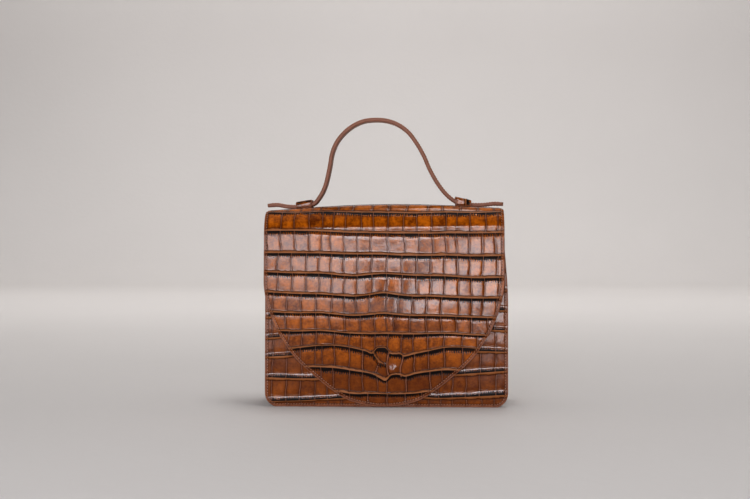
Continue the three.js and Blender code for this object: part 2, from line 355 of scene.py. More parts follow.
# The emboss: height of each line between two rows of scales on the flap, at the x in flap_knots.
flap_knots = np.array([-120, -90, -60, -45, -30, -15, 0, 15, 30, 45, 60, 90, 120.0])
flap_lines = [
    [194.8, 195.4, 196.6, 196.2, 195.8, 195.6, 195.4, 195, 194.7, 195.2, 195.6, 195.2, 195.2],
    [176.8, 177.3, 176.6, 175.8, 175.2, 175, 174.8, 174.6, 174.6, 174.4, 174.8, 174.7, 174.9],
    [154.9, 154.8, 154.5, 153.9, 153.6, 153.6, 153.4, 152.5, 152.4, 152.2, 152.5, 151.7, 152.1],
    [135.7, 134.5, 134.1, 132.6, 131.7, 133, 134, 133.2, 132.3, 132, 131.8, 129.9, 130.3],
    [115.5, 114, 113.3, 112.2, 111.4, 112.8, 114.7, 112.8, 111.5, 111.5, 110.8, 109.6, 109.8],
    [95.6, 94.4, 94.4, 93, 92, 93, 94.2, 92.9, 92, 92, 91.6, 90.4, 89.6],
    [77.4, 76.1, 76.6, 75.3, 74.2, 73.8, 74.1, 73.8, 73.6, 74, 74.2, 72.7, 72.2],
    [
        55.5, 59, 62, 61.8, 59.4, 56.5, 54.8, 59, 60.2, 59.2,
        54.4, 53.6, 53.4, 51.4, 51.7, 53.6, 56.8, 60, 59.6, 55,
    ],
    [
        38.5, 40, 40.1, 39.1, 36.7, 34.4, 32.9, 29.6, 27.2, 28.6,
        31.6, 33, 32.9, 31.2, 31.6, 33.4, 36, 37.6, 36, 34.5,
    ],
    [17.5, 16.8, 16.4, 15.4, 13.5, 13.8, 13.5, 13.5, 14.2, 16, 17, 17.5, 18],
]

# The two lines round the hide's small middle scar bend there, and have closer knots.
scar_knots = {
    7: [
        -120, -90, -60, -45, -30, -18, -10.4, -7.3, -2.5, 2.6, 6.4, 11.5, 17.2, 19.8, 23, 30,
        45, 60, 90, 120,
    ],
    8: [
        -120, -90, -60, -45, -30, -15, -9.6, -4, 2.6, 4.2, 6.4, 10, 15.6, 21.7, 24, 30, 45, 60,
        90, 120,
    ],
}

# The same for the lines between two scales of a row: their x from the flap's middle.
flap_columns = [
    [
        -118, -103.6, -90.2, -75.1, -61.7, -51, -38.5, -22.4, -10.8, 4, 20, 33, 47.8, 62.5,
        73.2, 86.6, 102.3, 114,
    ],
    [-104, -89.5, -75, -62.5, -53.5, -40, -27, -13.5, 4, 21, 35.3, 49.6, 62.5, 72.3, 85.3, 99, 112],
    [
        -107, -93.2, -78.1, -65.2, -53.1, -40.2, -26.8, -12.6, 3.3, 18, 32.6, 46.9, 61, 73.6,
        86, 99, 114,
    ],
    [
        -107, -92, -78.1, -64.8, -52.3, -39.3, -26.4, -11.3, 2.9, 18.8, 33, 46.9, 61, 75.3,
        87.8, 100.7, 115.4,
    ],
    [
        -111.6, -97.5, -83.4, -68.5, -52, -39.5, -28, -14.6, 2.8, 14.5, 28.5, 42.6, 57.6, 75.8,
        88, 99, 113,
    ],
    [-99.1, -83.4, -68.5, -54.4, -39.5, -23.7, -8.8, 2.8, 9.5, 26, 42.6, 57.6, 72.5, 88, 104.8],
    [-96, -82, -68, -50.2, -34.5, -22, -9, 3.7, 17.8, 29.4, 44, 60, 79, 94],
    [-84.2, -68.5, -62, -49.4, -34.5, -21.2, 6.4, 31, 45, 60.9, 79],
    [-62.7, -51, -34.5, -21.2, -6.3, 2.8, 22.7, 46.8, 58.4],
    [-34, -16.2, 3.7, 21.9, 38],
]


def smooth(t):
    """0 up to 0, 1 from 1 on, and 3 t squared less 2 t cubed between."""
    t = np.clip(t, 0, 1)
    return t * t * (3 - 2 * t)


def soft_bump(t):
    """(1 - t squared) squared between -1 and 1, and 0 outside."""
    return np.maximum(0, 1 - t * t) ** 2


def through(x, knots, values):
    """A smooth line through (knots, values): cubics whose slopes are those of the chords."""
    knots, values = np.asarray(knots, float), np.asarray(values, float)
    slopes = np.gradient(values, knots)
    x = np.clip(x, knots[0], knots[-1])
    i = np.clip(np.searchsorted(knots, x) - 1, 0, len(knots) - 2)
    step = knots[i + 1] - knots[i]
    t = (x - knots[i]) / step
    a, b = values[i], values[i + 1]
    return (
        a * (1 + 2 * t) * (1 - t) ** 2
        + b * t * t * (3 - 2 * t)
        + step * (slopes[i] * t * (1 - t) ** 2 + slopes[i + 1] * t * t * (t - 1))
    )


def half_depth(z):
    """Half the depth of the body between its outer faces, which falls evenly with height."""
    return (base_depth + (top_depth - base_depth) * z / roof_height) / 2


def body_half(z):
    """Half the body's width, with round lower corners."""
    up = np.clip(corner_radius - z, 0, corner_radius)
    return half_width - corner_radius + np.sqrt(corner_radius**2 - up**2)


def panel_taper(z):
    """How much narrower the front panel is on either side at the height z."""
    return panel_top_inset * smooth((z - taper_start) / (panel_height - taper_start))


def swell(x, z):
    """How far front and back stand out: a soft bump in x times one in z."""
    middle = (panel_height + swell_floor) / 2
    reach = (panel_height - swell_floor) / 2
    across = soft_bump(x / (half_width - seam_allowance))
    return panel_swell * across * soft_bump((z - middle) / reach)


def wrap_line():
    """The wrap's outer line in the (y, z) plane as pieces.

    Each is the length at which it starts, "line" or "arc", its start or centre, its direction or
    first angle, and the arc's radius.
    """
    corners = np.array(
        [
            [half_depth(0), 0],
            [half_depth(roof_height), roof_height],
            [-half_depth(roof_height) - flap_gap_top - leather, roof_height],
            [-half_depth(0) - flap_stand_off, flap_tip_height],
        ]
    )
    pieces = []
    start = corners[0]
    s = 0.0
    for i, radius in ((1, back_shoulder_radius), (2, front_shoulder_radius)):
        into = (corners[i] - corners[i - 1]) / np.linalg.norm(corners[i] - corners[i - 1])
        out = (corners[i + 1] - corners[i]) / np.linalg.norm(corners[i + 1] - corners[i])
        turn = math.acos(float(into @ out))
        arc_start = corners[i] - into * radius * math.tan(turn / 2)
        centre = arc_start + radius * np.array([-into[1], into[0]])
        angle = math.atan2(*(arc_start - centre)[::-1])
        pieces.append((s, "line", start, into, 0.0))
        s += float(np.linalg.norm(arc_start - start))
        pieces.append((s, "arc", centre, angle, radius))
        s += radius * turn
        start = centre + radius * np.array([math.cos(angle + turn), math.sin(angle + turn)])
    out = (corners[3] - start) / np.linalg.norm(corners[3] - start)
    pieces.append((s, "line", start, out, 0.0))
    return pieces, s + float(np.linalg.norm(corners[3] - start))


wrap_pieces, wrap_length = wrap_line()
back_shoulder, roof_back, roof_front, front_shoulder = [piece[0] for piece in wrap_pieces[1:]]
roof_middle = (roof_back + roof_front) / 2
roof_reach = (front_shoulder - back_shoulder) / 2


def wrap_section(s):
    """Point and direction of the wrap's line at the length s: (y, z, along y, along z)."""
    y, z, ty, tz = (np.zeros(np.shape(s)) for _ in range(4))
    for k, (start, kind, where, how, radius) in enumerate(wrap_pieces):
        ahead = wrap_pieces[k + 1][0] if k + 1 < len(wrap_pieces) else np.inf
        here = (s < ahead) & ((s >= start) if k else True)
        d = s - start
        if kind == "line":
            values = (where[0] + how[0] * d, where[1] + how[1] * d, how[0] + 0 * d, how[1] + 0 * d)
        else:
            turned = how + d / radius
            values = (
                where[0] + radius * np.cos(turned),
                where[1] + radius * np.sin(turned),
                -np.sin(turned),
                np.cos(turned),
            )
        for target, value in zip((y, z, ty, tz), values):
            np.copyto(target, value, where=here)
    return y, z, ty, tz


def wrap_face(x, s):
    """The wrap's outer face at x from its middle and s along it.

    The line's point is carried outwards by the roof's arch and the swell. The right end of the
    roof is tilted up, and its four corners hang a little.
    """
    x, s = np.broadcast_arrays(np.asarray(x, float), np.asarray(s, float))
    y, z, ty, tz = wrap_section(s)
    arch = np.maximum(0, 1 - (x / (half_width - roof_flat_end)) ** 2) ** arch_slenderness
    off_roof = np.clip((s - roof_middle) / roof_reach, -1, 1)
    out = roof_rise * arch * (1 - off_roof**4) ** 2 + swell(x, z)
    tilt = roof_tilt * (x / half_width) * smooth(z / roof_height)
    corner = np.maximum(0, (abs(x) - roof_corner) / (half_width - roof_corner)) ** 2
    tilt = tilt - roof_corner_drop * corner * smooth((z - corner_drop_from) / corner_drop_over)
    return np.stack(
        [
            x + upper_drift * smooth(s / roof_middle),
            body_middle + y + tz * out,
            z - ty * out + tilt,
        ],
        -1,
    )


def catmull_rom(points, t):
    """The even Catmull-Rom curve through the points, at t from 0 to 1."""
    points = np.asarray(points, float)
    last = len(points) - 1
    place = t * last
    i = np.clip(np.floor(place).astype(int), 0, last - 1)
    w = (place - i)[:, None]
    a, b = points[i], points[i + 1]
    into = (b - points[np.maximum(i - 1, 0)]) / 2
    out = (points[np.minimum(i + 2, last)] - a) / 2
    return (
        (2 * a - 2 * b + into + out) * w**3
        + (-3 * a + 3 * b - 2 * into - out) * w**2
        + into * w
        + a
    )


flap_edge = catmull_rom(
    np.r_[
        np.c_[-flap_outline_half[:0:-1], flap_outline_up[:0:-1]],
        np.c_[flap_outline_half, flap_outline_up],
    ],
    np.linspace(0.5, 1, 1500),
)


def wrap_half(s):
    """Half the wrap's width: the body's below, a little less at the roof, then the flap's."""
    to_roof = smooth(s / roof_middle)
    to_flap = smooth((s - roof_middle) / roof_middle)
    plain = body_half(s) - roof_inset * to_roof + (roof_inset - flap_inset) * to_flap
    up = (wrap_length - s) / flap_curve_height
    round_end = flap_half_width * np.interp(up, flap_edge[:, 1], flap_edge[:, 0])
    return np.where(up < 1, np.maximum(flap_tip_half, np.minimum(round_end, plain)), plain)


def normals_of(face, x, s, turn):
    """Outward unit normals: the cross product of the face's two directions, times `turn`, which
    is 1 or -1 so that they point outwards.
    """
    step = 0.05
    across = face(x + step, s) - face(x - step, s)
    along = face(x, s + step) - face(x, s - step)
    normal = turn * np.cross(along, across)
    return normal / np.linalg.norm(normal, axis=-1, keepdims=True)


chance = np.random.default_rng(11)

# The relief in millimetres: ridge and dip at a row line, the scale's dome, cushion and tilt, the
# groove between scales, and how all of it is pressed flat from the cut edge inwards.
row_pitch = 20.0
scale_width = 14.0
ridge_height = 0.38
ridge_width = 1.0
ridge_ahead = 0.4
dip_depth = 0.1
dip_width = 1.3
dip_behind = 2.5
dome_height = 0.055
dome_chance = 0.03
cushion_height = 0.035
tilt_across = 0.1
tilt_along = 0.15
groove_depth = 0.09
groove_width = 0.6
slow_sway = 0.35
quick_sway = 0.2
bow_reach = 12.0
pressed_from = 1.6
pressed_over = 3.2
pressed_share = 0.12
pressed_depth = 0.12
relief_base = 0.15


def scale_profile(d):
    """Height at the distance d past a row line: a ridge on the line, and a slight dip past it."""
    ridge = ridge_height * np.exp(-(((d + ridge_ahead) / ridge_width) ** 2))
    return ridge - dip_depth * np.exp(-(((d - dip_behind) / dip_width) ** 2))


def emboss(row, share, x, s, edge):
    """Relief and chart of one row of scales, for points at `share` of its height.

    A scale is a low dome between its four lines, tilted a little by chance. The lines between two
    scales sway, and slant or bow over the row's height. Towards the cut edge the relief is
    pressed flat. The chart counts scales and rows, with shares between.
    """
    columns = row["columns"]
    slow_wave = slow_sway * np.sin(s / 5.1 + row["phase"] + x / 9)
    quick_wave = quick_sway * np.sin(s / 2.3 + 2 * row["phase"])
    moved = x + slow_wave + quick_wave - row["slant"] * (share - 0.5)
    for at, bow in row["bow"].items():
        moved = moved - 4 * share * (1 - share) * bow * soft_bump((x - at) / bow_reach)
    j = np.clip(np.searchsorted(columns, moved) - 1, 0, len(columns) - 2)
    width = columns[j + 1] - columns[j]
    across = (moved - columns[j]) / width
    v = row["low"] + (row["high"] - row["low"]) * share
    level = (v - row["index"]) * row_pitch
    inside = np.clip((v - row["index"]), 0, 1)
    low, over = 2 * inside - 1, 2 * across - 1
    tilt_x, tilt_s, puff = (row["chance"][j, i] for i in range(3))
    dome = (dome_height + dome_chance * puff) * (1 - over**2)
    dome = dome + cushion_height * (1 - low**10) * (1 - over**10)
    tilt = tilt_across * tilt_x * (across - 0.5) + tilt_along * tilt_s * (inside - 0.5)
    tilted = (1 - low**6) * (1 - over**6) * tilt
    nearest = np.minimum(across, 1 - across) * width
    groove = -groove_depth * np.exp(-((nearest / groove_width) ** 2)) * (1 - low**8)
    raised = dome + tilted + groove
    past = level - row["ridge_shift"]
    raised = raised + scale_profile(past) + scale_profile(past - row_pitch)
    pressed = smooth((edge - pressed_from) / pressed_over)
    kept = pressed_share + (1 - pressed_share) * pressed
    relief = (raised - relief_base) * kept - pressed_depth * (1 - pressed)
    return relief, j + across, v


def scale_rows(lines, columns, cut_low, cut_high, ridge_shift=0.0):
    """The rows between neighbouring lines.

    The first and last are cut through by the edge, at the shares `cut_low` and `cut_high` of
    their height. The ridges stand `ridge_shift` past their lines.
    """
    more = np.array([1, 2]) * scale_width
    rows = []
    for i in range(len(lines) - 1):
        found = np.sort(np.asarray(columns[i], float))
        found = np.r_[found[0] - more[::-1], found, found[-1] + more]
        rows.append(
            {
                "index": i,
                "low": i + (cut_low if i == 0 else 0),
                "high": i + (cut_high if i == len(lines) - 2 else 1),
                "from": lines[i],
                "to": lines[i + 1],
                "columns": found,
                "ridge_shift": ridge_shift,
                "phase": chance.uniform(0, 6.28),
                "slant": chance.uniform(-1.2, 1.2),
                "bow": {},
                "chance": chance.uniform(-1, 1, (len(found), 3)),
            }
        )
    return rows


def random_columns(low, high, middle=None):
    """Lines between scales, 11 to 17 mm apart, with one near the middle if it is given."""
    margin = 20.0
    found = low - 8 + np.cumsum(chance.uniform(11, 17, 40))
    if middle is not None:
        found = found + middle - found[np.argmin(abs(found - middle))]
    return found[(found > low - margin) & (found < high + margin)]


def wavy_line(level, knots, swing):
    """A row line near `level` that wanders by up to about `swing` over the knots."""
    drift = chance.uniform(-swing, swing, len(knots))
    values = level + (drift + np.roll(drift, 1)) / 2
    return lambda x: through(x, knots, values)


def level_line(level):
    """A row line that is straight and level."""
    return lambda at: 0 * at + level


def border_shares(count, half, fine):
    """Shares from -1 to 1, evenly spaced but for `fine` closer ones in either border."""
    border = 6.0 / half
    close = np.linspace(0, border, fine + 1)[:-1]
    even = np.linspace(-1 + border, 1 - border, count)
    return np.r_[-1 + close, even, (1 - close)[::-1]]


def cut_distance(x, s, rim):
    """Distance of flat points from the cut edge, along the normal of its nearest point."""
    outward = rim_normals(rim)
    found = np.empty(x.shape)
    for i in range(len(x)):
        gap_x = x[i][:, None] - rim[:, 0]
        gap_s = s[i][:, None] - rim[:, 1]
        n = np.argmin(gap_x**2 + gap_s**2, axis=1)
        k = np.arange(len(n))
        found[i] = abs(gap_x[k, n] * outward[n, 0] + gap_s[k, n] * outward[n, 1])
    return found


def rim_normals(rim):
    """Outward normals of a closed flat outline, whichever way round it runs."""
    along = np.roll(rim, -1, 0) - np.roll(rim, 1, 0)
    along = along / np.maximum(np.linalg.norm(along, axis=1, keepdims=True), 1e-9)
    normal = np.c_[along[:, 1], -along[:, 0]]
    area = np.sum(rim[:, 0] * np.roll(rim[:, 1], -1) - np.roll(rim[:, 0], -1) * rim[:, 1])
    return normal if area > 0 else -normal


def edge_ring(rows, columns):
    """Grid indices once round the edge, in the direction in which the faces run."""
    i, j = np.arange(rows), np.arange(columns)
    return np.r_[
        i * columns,
        (rows - 1) * columns + j[1:],
        i[::-1][1:] * columns + columns - 1,
        j[::-1][1:-1],
    ]


# How many times a grid's place is worked out anew, and the painted edge's rings: each one's share
# of edge_round outwards and of the thickness inwards.
settle_rounds = 30
edge_rings = ((0.75, 0.16), (1.0, 0.36), (1.0, 0.64), (0.75, 0.84))


def embossed_sheet(
    name, face, half, rows, divisions, shares, thickness, turn, hide_place, mark=None, border=1.0
):
    """A closed sheet of embossed leather with a rounded, painted edge.

    Grid rows follow the lines between rows of scales: at the share f of a row they lie at
    (1 - f) x its first line + f x its second, and x is the grid's share times `half`, found by
    repeating both until they agree. The inner side has half as many rows and columns. The flat
    border along the cut edge is `border` times as wide as on the wrap, and `hide_place` is where
    the piece starts on the map of the hide, so that no two pieces share their marks.
    """
    blocks = []
    for row, fractions in zip(rows, divisions):
        f = np.asarray(fractions)[:, None]
        s = (1 - f) * row["from"](0 * shares) + f * row["to"](0 * shares)
        for _ in range(settle_rounds):
            x = shares * half(s)
            s = (1 - f) * row["from"](x) + f * row["to"](x)
        blocks.append((shares * half(s), s, np.broadcast_to(f, s.shape)))
    x = np.concatenate([b[0][:-1] for b in blocks] + [blocks[-1][0][-1:]])
    s = np.concatenate([b[1][:-1] for b in blocks] + [blocks[-1][1][-1:]])
    count, wide = x.shape
    ring = edge_ring(count, wide)
    rim = np.c_[x.ravel()[ring], s.ravel()[ring]]
    edge = cut_distance(x, s, rim) / border

    relief = np.zeros(x.shape)
    quads = grid_faces(count, wide)
    chart = np.zeros((count - 1, wide - 1, 4, 3))
    first = 0
    for row, (bx, bs, bf) in zip(rows, blocks):
        last = first + len(bx) - 1
        near = edge[first : last + 1]
        height, u, v = emboss(row, bf, bx, bs, near)
        relief[first : last + 1] = height
        whole = np.stack([u, v, near], -1)
        chart[first:last, :, 0] = whole[:-1, :-1]
        chart[first:last, :, 1] = whole[1:, :-1]
        chart[first:last, :, 2] = whole[1:, 1:]
        chart[first:last, :, 3] = whole[:-1, 1:]
        first = last
    marks = np.zeros(x.shape + (3,))
    if mark:
        added, marks = mark(x, s)
        relief = relief + added
    normal = normals_of(face, x, s, turn)
    outer = face(x, s) + normal * relief[..., None]
    flat = np.stack([x, s], -1)

    points = [outer.reshape(-1, 3)]
    flats = [flat.reshape(-1, 2)]
    outward = rim_normals(rim)
    inner_ring = edge_ring((count + 1) // 2, (wide + 1) // 2)
    rings = [ring]
    total = count * wide
    ring_normal = normal.reshape(-1, 3)[ring]
    for out, deep in edge_rings:
        moved = rim + outward * out * edge_round
        around = face(moved[:, 0], moved[:, 1]) - ring_normal * deep * thickness
        points.append(around)
        flats.append(moved)
        rings.append(total + np.arange(len(ring)))
        total += len(ring)
    inner = face(x, s)[::2, ::2] - normal[::2, ::2] * thickness
    points.append(inner.reshape(-1, 3))
    flats.append(flat[::2, ::2].reshape(-1, 2))
    inner_rows, inner_wide = inner.shape[:2]
    inner_quads = grid_faces(inner_rows, inner_wide, total, flip=True)
    joined = inner_ring + total

    strips = []
    for a, b in zip(rings, rings[1:]):
        strips.append(np.stack([np.roll(a, -1), a, b, np.roll(b, -1)], 1))
    strips = np.concatenate(strips)
    whole_ring = rings[-1]
    a, b, c = whole_ring[0::2], whole_ring[1::2], np.roll(whole_ring, -2)[0::2]
    d = np.roll(joined, -1)
    triangles = np.concatenate(
        [np.stack([b, a, joined], 1), np.stack([b, joined, d], 1), np.stack([c, b, d], 1)]
    )
    points = np.concatenate(points)
    points[:, 2] = np.maximum(0, points[:, 2])
    flats = np.concatenate(flats) + np.array([0.0, hide_place])

    if turn < 0:
        order = [0, 3, 2, 1]
        quads, chart = quads[:, order], chart[:, :, order]
        strips, inner_quads = strips[:, order], inner_quads[:, order]
        triangles = triangles[:, [0, 2, 1]]
    faces = quads.tolist() + strips.tolist() + triangles.tolist() + inner_quads.tolist()
    corner = np.concatenate([quads.ravel(), strips.ravel(), triangles.ravel(), inner_quads.ravel()])
    charts = np.zeros((len(corner), 3))
    charts[: quads.size] = chart.reshape(-1, 3)
    scars = np.zeros((len(corner), 3))
    scars[: quads.size] = marks.reshape(-1, 3)[quads.ravel()]
    looks = np.r_[
        np.zeros(len(quads)), np.ones(len(strips) + len(triangles)), np.full(len(inner_quads), 2)
    ]
    maps = {"flat": flats[corner], "chart": charts}
    if mark:
        maps["scar"] = scars
    return put_mesh(name, points, faces, leather_finishes, looks, maps)


# Finishes of the leather: its embossed face, its painted edge and its plain inner side.
ridge_tan = linear(162, 104, 62)
vein_pink = linear(150, 98, 74)
border_pale = linear(138, 78, 46)
border_dark = linear(56, 22, 8)
rim_tan = linear(140, 88, 60)
crevice_black = linear(12, 8, 9)
scale_orange = linear(182, 98, 16)
scale_brown = linear(86, 37, 3)
# The brown of painted shade: the dark line before a row line, the veins' flanks and the stitch
# crease.
painted_shade_brown = linear(36, 14, 6)
scar_reach = 8.0
stitch_inset = 2.7
panel_ridge_shift = 2.0

# Each piece starts at its own place along the hide, in millimetres.
panel_hide = 0.0
wrap_hide = 1000.0
gusset_hide = 2000.0
loop_hide = 3000.0

# Lengths along the hide between which a tone comes or goes: the front panel's, and those of the
# flap's top row, of the rows that mirror the soft panels, and of the low rows. The top row gets
# painted light, and the front panel and the low rows get painted shade.
panel_ends = (900.0, 800.0)
top_row_ends = (1305.0, 1285.0)
mirror_starts = (1300.0, 1310.0)
mirror_ends = (1385.0, 1365.0)
low_shade_start = (1402.0, 1428.0)
low_shade_end = (1600.0, 1500.0)

embossed = Finish("embossed_leather")
chart_u, chart_v, chart_edge = embossed.node(
    "ShaderNodeAttribute", {"attribute_name": "chart"}, {}, "Vector"
).axes()
scar_main, scar_branch_near, scar_hand = embossed.node(
    "ShaderNodeAttribute", {"attribute_name": "scar"}, {}, "Vector"
).axes()
flat_map = embossed.node("ShaderNodeUVMap", {"uv_map": "flat"}, {})
flat_x, flat_s, _ = flat_map.axes()
wander = embossed.noise(flat_map, 0.33, 2.0)
tooth_chance = embossed.noise(flat_map, 0.8, 1.0)
mottle = embossed.noise(flat_map, 0.13, 5.0)
speckle = embossed.noise(flat_map, 0.45, 4.0)
cloud = embossed.noise(flat_map, 0.02, 2.0)
creases = embossed.noise(flat_map, 0.7, 5.0)
ripple = embossed.noise(flat_map, 0.17, 3.0)

# Distances in millimetres: past a row line, before the next, and to a line between two scales.
# The scar's lines count as such too, on the side that scar_hand gives.
far_off = 40.0
from_scar = scar_reach - scar_main
past_scar = scar_hand.rise(0.49, 0.51)
wobble = (wander - 0.5) * 0.8
sway = (embossed.noise(flat_map, 0.09, 2.0) - 0.5) * 2.4
below = (chart_v.part() * row_pitch).least(from_scar + (1 - past_scar) * far_off)
below = below + wobble - sway
above = ((1 - chart_v.part()) * row_pitch).least(from_scar + past_scar * far_off)
above = above + wobble + sway
share_u = chart_u.part()
cell = embossed.node("ShaderNodeCombineXYZ", {}, {0: chart_u.whole(), 1: chart_v.whole()})
cell_chance = embossed.node(
    "ShaderNodeTexWhiteNoise", {"noise_dimensions": "3D"}, {"Vector": cell}, "Value"
)
side = (share_u.least(1 - share_u) * scale_width).least(scar_reach - 0.35 - scar_branch_near)
side = side + (wander - 0.5) * 0.5

# Where each mark lies. A pair in rise is the distance at which it begins, then where it is full.
tooth_pitch = 2.3
tooth_length = 2.2
fringe_least = 1.5
fringe_wave = 1.7
glaze_at = 3.2
lip_shade_at = 2.3
tooth = (1 - abs((flat_x / tooth_pitch + wander * 1.5).part() * 2 - 1)).rise(0.15, 0.7)
tooth = tooth * tooth_chance.rise(0.34, 0.44)
long_wave = embossed.noise(flat_map, 0.05, 1.0).rise(0.3, 0.7)
on_panel = flat_s.rise(*panel_ends)
top_row = flat_s.rise(*top_row_ends) * (1 - on_panel)
mirror_rows = flat_s.rise(*mirror_starts) * flat_s.rise(*mirror_ends)
shaded_low_rows = flat_s.rise(*low_shade_start) * flat_s.rise(*low_shade_end)

# The black fringe past a row line, with its teeth. It is shorter in the top row and at the scar.
fringe_reach = fringe_least + long_wave * fringe_wave + tooth * tooth_length - top_row * 0.8
fringe_reach = (fringe_reach - scar_main.rise(0.0, 6.0) * 1.3) * (1 - on_panel * 0.3)
edge_zone = chart_edge.rise(4.2, 2.4)
fringe = (below - fringe_reach).rise(0.3, -0.3) * (1 - edge_zone * 0.6)

# The tan lip before a row line and its dark line of painted shade, the ridge that carries it, the
# front panel's glazed line, the pale vein between two scales of a row, and the vein's flanks,
# darkened with painted shade.
lip = above.rise(1.9, 1.3)
# Painted shade: a dark line where the scale rounds down towards the lip.
lip_shade_line = abs(above - lip_shade_at).rise(0.8, 0.1)
ridge = above.rise(2.4, 0.2) + (below - on_panel * panel_ridge_shift).rise(3.4, 0.2)
glaze_line = abs(below - glaze_at).rise(1.2, 0.7) * on_panel * (1 - fringe)
vein = side.rise(0.42, 0.2) * (1 - lip)
# Painted shade: the flanks beside each vein are darkened.
shaded_flank = side.rise(1.2, 0.5) * (1 - vein) * (1 - lip)

# Each scale's tone goes at random from brown to orange. It is darker towards its lines, a painted
# shade, and is painted lighter in the flap's top row and darker on the front panel and in the low
# rows, as painted light and shade. Then the marks are laid over it, one by one.
tone_and_shade = (mottle * 0.7 + speckle * 0.5 + cloud * 0.4 + cell_chance * 0.12 - 0.44).rise(0.12, 0.74)
# Painted shade: darker towards the scale's lines.
tone_and_shade = tone_and_shade * (1 - side.rise(3.5, 0.5) * 0.5) * (1 - above.rise(5.5, 2.0) * 0.4)
# Painted light in the top row, painted shade on the front panel and in the low rows.
tone_and_shade = tone_and_shade * (1 + top_row * 0.3) * (1 - on_panel * 0.5) * (1 - shaded_low_rows * 0.6)
colour = tone_and_shade.blend(scale_brown, scale_orange)
colour = (shaded_flank * 0.85).blend(colour, painted_shade_brown)
colour = (fringe * 0.97).blend(colour, crevice_black)
colour = (vein * 0.75).blend(colour, vein_pink)
colour = (lip_shade_line * 0.6).blend(colour, painted_shade_brown)
colour = (lip * 0.9).blend(colour, ridge_tan)

# The flat border along the cut edge, its painted rim and the crease under the stitches, which is
# pressed in and darkened with painted shade.
grain = embossed.noise(flat_map, 1.0, 3.0).rise(0.38, 0.62)
colour = (edge_zone * 0.3).blend(colour, grain.blend(border_dark, border_pale))
colour = (chart_edge.rise(0.9, 0.4) * 0.7).blend(colour, rim_tan)
stitch_crease_and_shade = abs(chart_edge - stitch_inset).rise(0.7, 0.3)
# Painted shade in the crease under the stitches.
colour = (stitch_crease_and_shade * 0.5).blend(colour, painted_shade_brown)
relief = (
    ridge * 1.6 + vein * 0.06 - shaded_flank * 0.1
    + (ripple - 0.5) * 0.055 + (creases - 0.5) * 0.017 - stitch_crease_and_shade * 0.1
)
fringe_matt = fringe * (0.5 - mirror_rows * 0.4) * (1 - glaze_line)
embossed.wear(
    Base_Color=colour,
    Roughness=0.11 + fringe_matt + lip * 0.2 + edge_zone * 0.12 + (mottle - 0.5) * 0.06,
    Coat_Weight=fringe * 0.05 + glaze_line * 0.6,
    Coat_Roughness=0.15,
    Normal=embossed.bump(relief, 1.0 * MM),
    Specular_IOR_Level=0.2,
)

painted = Finish("painted_edge")
painted_place = painted.object_place()
painted_cloud = painted.noise(painted_place, 240.0, 3.0)
painted.wear(
    Base_Color=painted_cloud.blend(linear(118, 74, 55), linear(150, 102, 80)),
    Roughness=0.5,
    Specular_IOR_Level=0.3,
    Normal=painted.bump(painted.noise(painted_place, 1500.0, 3.0), 0.1 * MM),
)

flesh = Finish("inner_side")
flesh_place = flesh.object_place()
flesh_fibre = flesh.noise(flesh_place, 900.0, 5.0)
flesh.wear(
    Base_Color=(flesh.noise(flesh_place, 45.0, 3.0) * 0.6 + flesh_fibre * 0.4).blend(
        linear(92, 52, 32), linear(134, 84, 56)
    ),
    Roughness=0.85,
    Normal=flesh.bump(flesh_fibre, 0.15 * MM),
)

leather_finishes = [embossed.material, painted.material, flesh.material]

# The lines on the flap are given by height, so their length along the wrap is looked up.
front_s = np.linspace(roof_front - 4, wrap_length, 1500)


def length_at(x, z):
    """The length along the wrap at which the flap has this height."""
    return float(np.interp(-z, -wrap_face(x, front_s)[:, 2], front_s))


def flap_line(heights, knots):
    """A row line on the flap through these heights at the knots' x."""
    lengths = [length_at(x, z) for x, z in zip(knots, heights)]
    return lambda at: through(at, knots, lengths)


first_flap_line = float(flap_line(flap_lines[0], flap_knots)(np.array([0.0]))[0])
back_pitch = 20.6
back_rows = 12
back_levels = [first_flap_line - back_pitch * k for k in range(back_rows, 0, -1)]
back_knots = np.linspace(-130, 130, 12)
roof_front_columns = [-113, -98, -84, -72, -64, -46, -31, -11, 5, 23, 45, 59, 77, 95, 111.0]
wrap_lines = (
    [level_line(edge_round)]
    + [wavy_line(level, back_knots, swing=1.6) for level in back_levels]
    + [flap_line(z, scar_knots.get(k, flap_knots)) for k, z in enumerate(flap_lines)]
    + [level_line(wrap_length - edge_round)]
)
wrap_columns = [random_columns(-half_width, half_width, 3.5) for _ in range(back_rows + 1)]
wrap_columns[-1] = np.array(roof_front_columns)
wrap_rows = scale_rows(wrap_lines, wrap_columns + flap_columns, cut_low=0.1, cut_high=0.72)

# In the scar's row the line between two scales at x = 6.4 bows out by 3.8.
scar_row = wrap_rows[-3]
scar_row["bow"] = {6.4: -3.8}

# Inside the scar's row one more line runs on from the left, and a short one goes down from it.
scar_line = [(-10.8, 54.8), (-8.2, 49.5), (-4.4, 44.8), (-0.8, 42.6), (2.8, 42.8)]
scar_branches = [
    [(-5, 44.3), (-7, 38), (-9.6, 32.9)],
    [(19.4, 51.8), (18.8, 46.8), (16.6, 40.5), (16.5, 36), (17.6, 31)],
]
scar_end = 3.4
scar_fade = 1.2
branch_height = 0.2
branch_width = 0.8
blister_place = (9.0, 36.5)
blister_height = 1.0
blister_radius = 5.0


def signed_distance(x, s, line):
    """Distance from a line of short pieces, positive on the side of greater s."""
    line = np.array([(px, length_at(px, pz)) for px, pz in line])
    best = np.full(x.shape, np.inf)
    signed = np.full(x.shape, np.inf)
    for (ax, as_), (bx, bs) in zip(line, line[1:]):
        dx, ds = bx - ax, bs - as_
        t = np.clip(((x - ax) * dx + (s - as_) * ds) / (dx * dx + ds * ds), 0, 1)
        gap = np.hypot(x - ax - t * dx, s - as_ - t * ds)
        hand = np.sign((s - as_) * dx - (x - ax) * ds)
        closer = gap < best
        signed = np.where(closer, gap * np.where(hand == 0, 1, hand), signed)
        best = np.minimum(best, gap)
    return signed


